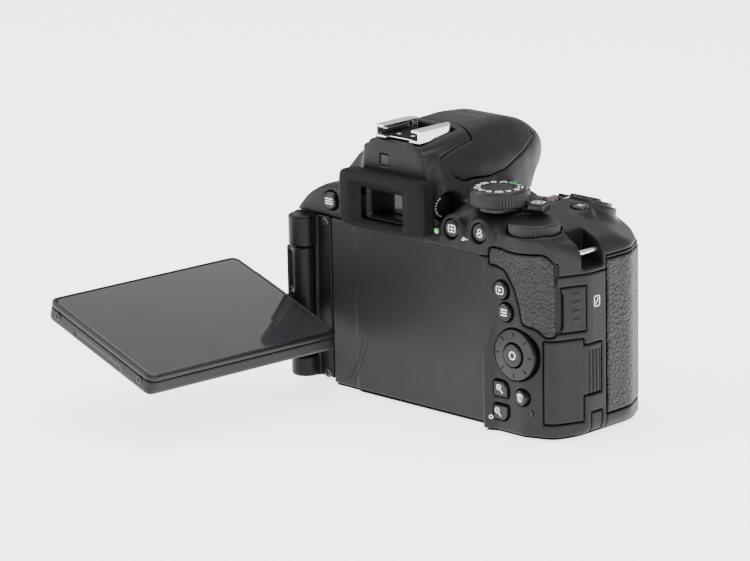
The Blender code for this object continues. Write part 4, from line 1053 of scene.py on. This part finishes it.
def make_eyepiece():
    def cup(s):
        form = box(s, (-20.3, -25.6, 62.4), (20.3, -18.2, 82.6), 2.2)
        form = smax(form, polygon(fillet(rectangle((-20.3, 62.4), (20.3, 82.6), 4.6)), s.x, s.z), 1.6)
        form = smax(form, -26.0 - s.y + 0.010 * s.x**2 * 0.35, 1.2)
        depth = np.clip((-23.2 - s.y) / 2.4, 0.0, 1.3)
        grow = 3.4 * depth
        reach = smax(np.abs(s.x + 1.0) - 10.4 - grow, np.abs(s.z - 71.0) - 5.4 - grow * 0.75, 1.5)
        form = cut(form, smax(reach * 0.6, s.y + 23.0, 0.5), 0.8)
        return slots(s, form, ((-10.4, -30, 65.6), (9.0, -10, 76.4), 1.4, 0.6),
                     ((-13.0, -22.6, 65.2), (13.0, -10, 76.8), 0.8, 0.3))

    def surround(s):
        form = box(s, (-12.6, -22.3, 65.6), (12.6, -11.0, 76.4), 0.8)
        mouth = smax(np.abs(s.x + 0.6) - 7.4, np.abs(s.z - 71.0) - 4.2, 1.0)
        return cut(form, mouth - np.clip((-20.2 - s.y) * 0.5, 0.0, 1.0), 0.5)

    sculpt("eyecup", cup, (-21.4, -27, 61.4), (21.4, -17.2, 83.6), 0.3, "rubber")
    sculpt("eyepiece_frame", surround, (-13.4, -21.4, 64.8), (13.4, -10.2, 77.2), 0.25, "smooth")
    pane("eyepiece_lens", (-9.7, 66.9), (9.7, 75.1), 0.8, "lens",
         ((0.3, -15.0), (0.0, -14.7), (0.0, -12.8), (0.3, -12.5)))
    pane("eye_sensor_window", (-5.7, 83.9), (-1.9, 87.5), 0.3, "key",
         ((0.1, -17.9), (0.0, -17.75), (0.0, -15.0)))


def pane(name, low, high, radius, look, profile):
    """An upright pane between two (x, z) corners, through (inset, y) loops."""
    corners = rectangle(low, high, radius)
    loft(name, [[(a, y, b) for a, b in fillet(inward(corners, inset))] for inset, y in profile], look)


def make_shoe():
    def shoe(s):
        form = box(s, (-10.4, -15.8, 92.5), (10.4, 1.6, 97.0), 0.35)
        form = slots(s, form, ((-9.35, -20.0, 93.4), (9.35, 0.7, 96.0), 0.15, 0.25),
                     ((-6.4, -20.0, 93.2), (6.4, 12.0, 100.0), 0.15, 0.25),
                     ((-5.4, -20.0, 91.0), (5.4, -13.6, 95.0), 0.3, 0.2))
        front = np.sqrt((np.abs(s.x) - 6.6) ** 2 + (s.y + 2.2) ** 2) - 3.8
        corner = np.maximum(front, np.maximum(6.6 - np.abs(s.x), -2.2 - s.y))
        return np.maximum(form, np.where((np.abs(s.x) > 6.6) & (s.y > -2.2), corner, -1.0))

    sculpt("hot_shoe", shoe, (-11.2, -16.6, 91.8), (11.2, 2.4, 97.8), 0.2, "steel")
    slab("shoe_floor", rectangle((-9.1, -13.9), (9.1, 0.5), 0.6), 93.36, 93.75, 0.1, "inner", slot="hot_shoe")
    spring = rectangle((-8.9, -13.5), (-7.0, -3.5), 0.3)
    for sign in (1, -1):
        leaf = [(sign * a, b, r) for a, b, r in spring][::sign]
        slab("shoe_spring", leaf, 95.2, 95.6, 0.1, "steel", slot="hot_shoe")
    for spot in ((0.0, -7.0), (3.2, -11.5), (-3.2, -11.5), (4.4, -5.5)):
        profile = [(0.9, 93.5), (0.9, 93.85), (0.7, 93.95), (0.05, 93.97)]
        turned("shoe_contact", profile, spot, "Z", 24, "steel", slot="hot_shoe")


def make_mount():
    profile = [(26.8, 43.5), (26.8, 46.2), (26.5, 46.5), (22.4, 46.5), (22.0, 46.2), (22.0, 43.5)]
    turned("lens_mount_ring", profile, (0, AXIS_Z), "Y", 128, "steel", caps=False)
    for degrees in (40, 130, 220, 310):
        turn = math.radians(degrees)
        spot = (24.4 * math.cos(turn), 46.3, AXIS_Z + 24.4 * math.sin(turn))
        screw("mount_screw", plate(spot, (-1, 0, 0), UP), "camera", 1.1)


def make_lugs():
    """The strap bars, and a dark sheet of painted shade that lines the recess round the right one."""
    def lining(s):
        room = box(s, (63.45, -4.35, 57.45), (80.0, 5.45, 69.75), 1.15)
        return smax(smax(room, -(room + 0.25), 0.1), body(s) + 0.35, 0.2)

    # Painted shade: the lining is darker and duller than the cover, for the shade in the recess.
    sculpt("strap_recess", lining, (62.5, -5.5, 56.5), (75.0, 6.5, 70.8), 0.2, "inner")
    for name, centre in {"strap_lug_right": (69.6, 62.4), "strap_lug_left": (-49.5, 64.2)}.items():
        turned(name, [(0.7, -2.9), (0.9, -2.7), (0.9, 5.6), (0.7, 5.8)], centre, "Y", 32, "steel")


# ---------------------------------------------------------------- small markings


def make_key_marks():
    """The plain signs on the keys of the back, each at (x, z, y)."""
    play = frame_mark(1.45, 1.2, 0.3) + [[(-0.5, -0.62), (0.75, 0.0), (-0.5, 0.62)]]
    can = stroke([(-1.1, 1.0), (1.1, 1.0)], 0.32)
    can += stroke([(-0.8, 0.7), (-0.65, -1.2), (0.65, -1.2), (0.8, 0.7)], 0.26)
    can += stroke([(0.0, 0.6), (0.0, -1.0)], 0.22) + stroke([(-0.35, 1.35), (0.35, 1.35)], 0.3)
    loupe = circle((-0.35, 0.5), 0.85, 0.32) + stroke([(0.3, -0.2), (1.2, -1.2)], 0.4)
    minus = stroke([(-0.75, 0.5), (0.05, 0.5)], 0.2)
    plus = minus + stroke([(-0.35, 0.1), (-0.35, 0.9)], 0.2)
    panel = frame_mark(1.5, 1.15, 0.32) + stroke([(-1.3, 0.0), (1.3, 0.0)], 0.28)
    panel += stroke([(0.0, -1.0), (0.0, 1.0)], 0.28)
    lock = frame_mark(1.0, 0.7, 0.4) + circle((0, 1.1), 0.75, 0.3)
    for name, shapes, x, z, y, key in (
        ("play_mark", play, 48.9, 49.6, -18.9, "play_button"),
        ("list_mark", bars(3, 1.1, 0.95, 0.42), 50.6, 42.3, -18.9, "quick_menu_button"),
        ("bin_mark", can, 57.3, 14.2, -18.9, "delete_button"),
        ("zoom_in_mark", loupe + plus, 48.2, 15.7, -18.86, "zoom_in_button"),
        ("zoom_out_mark", loupe + minus, 47.4, 7.6, -18.86, "zoom_out_button"),
        ("confirm_mark", circle((0, 0), 1.25, 0.42), *SELECTOR, -19.4, "ok_button"),
        ("panel_mark", panel, 27.2, 67.0, -18.52, "info_button"),
        ("lock_mark", lock, 39.6, 66.8, -18.32, "exposure_lock_button"),
        ("menu_mark", bars(3, 1.5, 0.9, 0.42), -34.0, 66.3, -15.12, "menu_button"),
    ):
        mark(name, shapes, plate((x, y, z), ACROSS, UP), "white", key)


def make_dial_marks():
    """The signs on the dials, the lever, the collar and the compensation key."""
    kinds = [circle((0, 0), 0.5, 0.26), bars(2, 0.75, 0.8, 0.32), [[(-0.7, -0.5), (0.7, -0.5), (0.0, 0.75)]],
             frame_mark(0.75, 0.5, 0.28), stroke([(-0.7, -0.5), (0.0, 0.6), (0.7, -0.5)], 0.3)]
    rim = MODE_R - 2.5
    for i in range(13):
        turn = 2 * math.pi * (i + 0.3) / 13
        spot = (MODE[0] + rim * math.cos(turn), MODE[1] + rim * math.sin(turn), 81.14)
        place = plate(spot, ACROSS, AHEAD, turn - math.pi / 2) @ Matrix.Diagonal((1.5, 1.5, 1.0, 1.0))
        mark("mode_mark", kinds[i % 5], place, "green" if i in (2, 3) else "white", "mode_dial")
    spot = Matrix.Rotation(LEVER_TURN, 3, "Z") @ Vector((13.4, 2.6, 0)) + Vector((*MODE, 76.7))
    sign = frame_mark(1.9, 1.45, 0.35) + circle((0, 0), 0.6)
    mark("lever_mark", sign, plate(spot, ACROSS, AHEAD, LEVER_TURN), "white", "live_view_lever")
    sign = stroke([(-1.2, 0.5), (-0.1, 0.5)], 0.3) + stroke([(-0.65, -0.05), (-0.65, 1.05)], 0.3)
    sign += stroke([(0.2, -0.6), (1.3, -0.6)], 0.3) + stroke([(-0.9, -1.2), (1.0, 1.2)], 0.2)
    mark("bias_mark", sign, plate((*COMPENSATION, 73.38), ACROSS, AHEAD), "white", "compensation_button")
    for i in range(9):
        turn = math.pi * (0.62 + 0.1 * i)
        spot = (17.97, DIOPTER_Y + 3.2 * math.cos(turn), DIOPTER_Z + 3.2 * math.sin(turn))
        mark("diopter_mark", circle((0, 0), 0.24, steps=10), plate(spot, AHEAD, UP), "white", "diopter_dial")
    for turn in (math.radians(-62), math.radians(-100)):
        spot = (7.6 * math.cos(turn), 7.6 * math.sin(turn), 0.58)
        place = grip_plane() @ plate(spot, ACROSS, AHEAD, turn)
        mark("power_mark", stroke([(-0.7, 0), (0.7, 0)], 0.35), place, "white", "power_collar")


def surface_height(spot, direction, reach=6.0):
    """Where a line meets the body's surface, as a point."""
    start, step = Vector(spot) - Vector(direction) * reach, 0.02
    count = int(2 * reach / step)
    points = np.array([start + Vector(direction) * step * i for i in range(count)], np.float32)
    s = Space.__new__(Space)
    s.x, s.y, s.z = [points[:, i][:, None, None] for i in range(3)]
    values = body(s).ravel()
    return Vector(points[int(np.argmax(values < 0.0))])


def make_body_marks():
    """Printed marks and lamps on the covers themselves, and a white dot of painted glow on the status lamp.
    """
    face = plate(surface_height((20.3, -20.0, 65.0), AHEAD), ACROSS, UP)
    profile = [(1.15, -0.5), (1.15, 0.08), (0.95, 0.18), (0.6, 0.2), (0.05, 0.26)]
    turned("status_lamp", profile, (0, 0), "Z", 28, "green", place=face, slot="top_cover")
    # Painted glow: a white dot on the status lamp, which gives no light.
    mark("status_glow", circle((0, 0), 0.45), face @ Matrix.Translation((0, 0, 0.27 * MM)), "white")
    face = plate(surface_height((60.2, -18.0, 9.1), AHEAD), ACROSS, UP)
    profile = [(1.3, -0.5), (1.3, 0.1), (1.0, 0.12), (0.8, -0.05), (0.05, -0.05)]
    turned("access_lamp", profile, (0, 0), "Z", 28, "key", place=face, slot="rear_cover")
    spot = surface_height((33.6, -20.0, 64.4), AHEAD) + Vector((0, -0.25, 0.1))
    sign = circle((-0.8, 0), 0.5, 0.26) + stroke([(-0.2, 0), (1.3, 0)], 0.26)
    mark("key_mark", sign, plate(spot, ACROSS, (0, 0.35, 1)), "white")
    spot = surface_height((47.6, 15.2, 76.0), (0, 0, -1))
    mark("bolt_mark", stroke([(-0.4, -1.2), (0.5, 1.2)], 0.35), plate(spot, ACROSS, (0, 1, 0.2)), "white")
    spot = surface_height((76.0, 1.8, 46.0), (-1, 0, 0))
    sign = frame_mark(1.25, 1.7, 0.32) + stroke([(-0.6, -0.8), (0.6, 0.8)], 0.3)
    mark("side_mark", sign, plate(spot, AHEAD, UP), "white")
    spot = surface_height((44.3, -20.0, 5.4), AHEAD) + Vector((0.1, -0.1, 0))
    mark("help_mark", circle((0, 0), 0.6, 0.28), plate(spot, (1, 0.5, 0), UP), "white")


# ---------------------------------------------------------------- carried-over nodes, stage and camera


def finish_nodes():
    """Gives the frame's own nodes that stay in view their finishes."""
    finishes = {
        "mirror_box": "inner", "focusing_screen": "lens", "pentamirror": "mirror", "shutter_unit": "inner",
        "image_sensor": "lens", "main_board": "board", "tripod_bush": "steel", "battery": "label",
        "memory_card": "label", "selector_gimbal": "inner", "reflex_mirror": "mirror", "sub_mirror": "mirror",
        "battery_door": "plastic", "battery_latch": "smooth",
    }
    for name, look in finishes.items():
        mesh = frame["nodes"][name].data
        mesh.materials.clear()
        mesh.materials.append(LOOKS[look])


def make_stage():
    """A flat pale floor, wide enough to fill the view from every side."""
    half = 6.0
    floor = bpy.data.meshes.new("floor")
    corners = [(-half, -half, 0), (half, -half, 0), (half, half, 0), (-half, half, 0)]
    floor.from_pydata(corners, [], [(0, 1, 2, 3)])
    paper = surface("studio_paper", (0.93, 0.93, 0.93), 0.8, 300.0, 0.05, vary=0.01)
    glow = paper.node_tree.nodes["Principled BSDF"]
    glow.inputs["Emission Color"].default_value = (1.0, 1.0, 1.0, 1.0)
    glow.inputs["Emission Strength"].default_value = 2.4
    floor.materials.append(paper)
    obj = bpy.data.objects.new("floor", floor)
    obj.location.z = -0.0004
    bpy.context.scene.collection.objects.link(obj)


def make_camera():
    yaw, pitch, roll = CAMERA_YAW, CAMERA_PITCH, CAMERA_ROLL
    back = Vector((math.sin(yaw) * math.cos(pitch), -math.cos(yaw) * math.cos(pitch), math.sin(pitch)))
    level = Vector((math.cos(yaw), math.sin(yaw), 0.0))
    upright = back.cross(level)
    right = level * math.cos(roll) + upright * math.sin(roll)
    up = upright * math.cos(roll) - level * math.sin(roll)
    data = bpy.data.cameras.new("camera")
    data.lens, data.sensor_width = CAMERA_LENS, SENSOR_WIDTH
    data.clip_start, data.clip_end = 0.05, 20.0
    camera = bpy.data.objects.new("camera", data)
    camera.matrix_world = Matrix.Translation(CAMERA_AT) @ Matrix((right, up, back)).transposed().to_4x4()
    bpy.context.scene.collection.objects.link(camera)
    bpy.context.scene.camera = camera


def make_lights():
    """A white surround and three large lamps, each given by its place, size and power in watts."""
    world = bpy.data.worlds.new("studio")
    world.use_nodes = True
    sky = world.node_tree.nodes["Background"]
    sky.inputs["Color"].default_value = (1.0, 1.0, 1.0, 1.0)
    sky.inputs["Strength"].default_value = 0.8
    bpy.context.scene.world = world
    target = Vector((0.0, 0.0, 0.04))
    for name, position, size, power in (
        ("overhead", (-0.1, 0.1, 1.3), (1.4, 1.4), 21.0),
        ("left_bank", (-1.1, -0.9, 0.7), (0.9, 0.9), 15.0),
        ("right_bank", (1.3, -0.3, 0.6), (0.7, 1.0), 10.0),
    ):
        data = bpy.data.lights.new(name, "AREA")
        data.shape, data.size, data.size_y, data.energy = "RECTANGLE", *size, power
        light = bpy.data.objects.new(name, data)
        light.location = position
        light.rotation_euler = (target - Vector(position)).to_track_quat("-Z", "Y").to_euler()
        bpy.context.scene.collection.objects.link(light)


# The order matters to pieces that share a name, which Blender numbers as they are made.
for make in (
    make_looks, make_camera, make_lights, make_stage, make_top_cover, make_flash, make_rear_cover,
    make_front_cover, make_base_cover, make_skins, make_hinge, make_screen, make_keys, make_selector,
    make_dials, make_eyepiece, make_shoe, make_mount, make_lugs, make_key_marks, make_dial_marks,
    make_body_marks, finish_nodes,
):
    make()
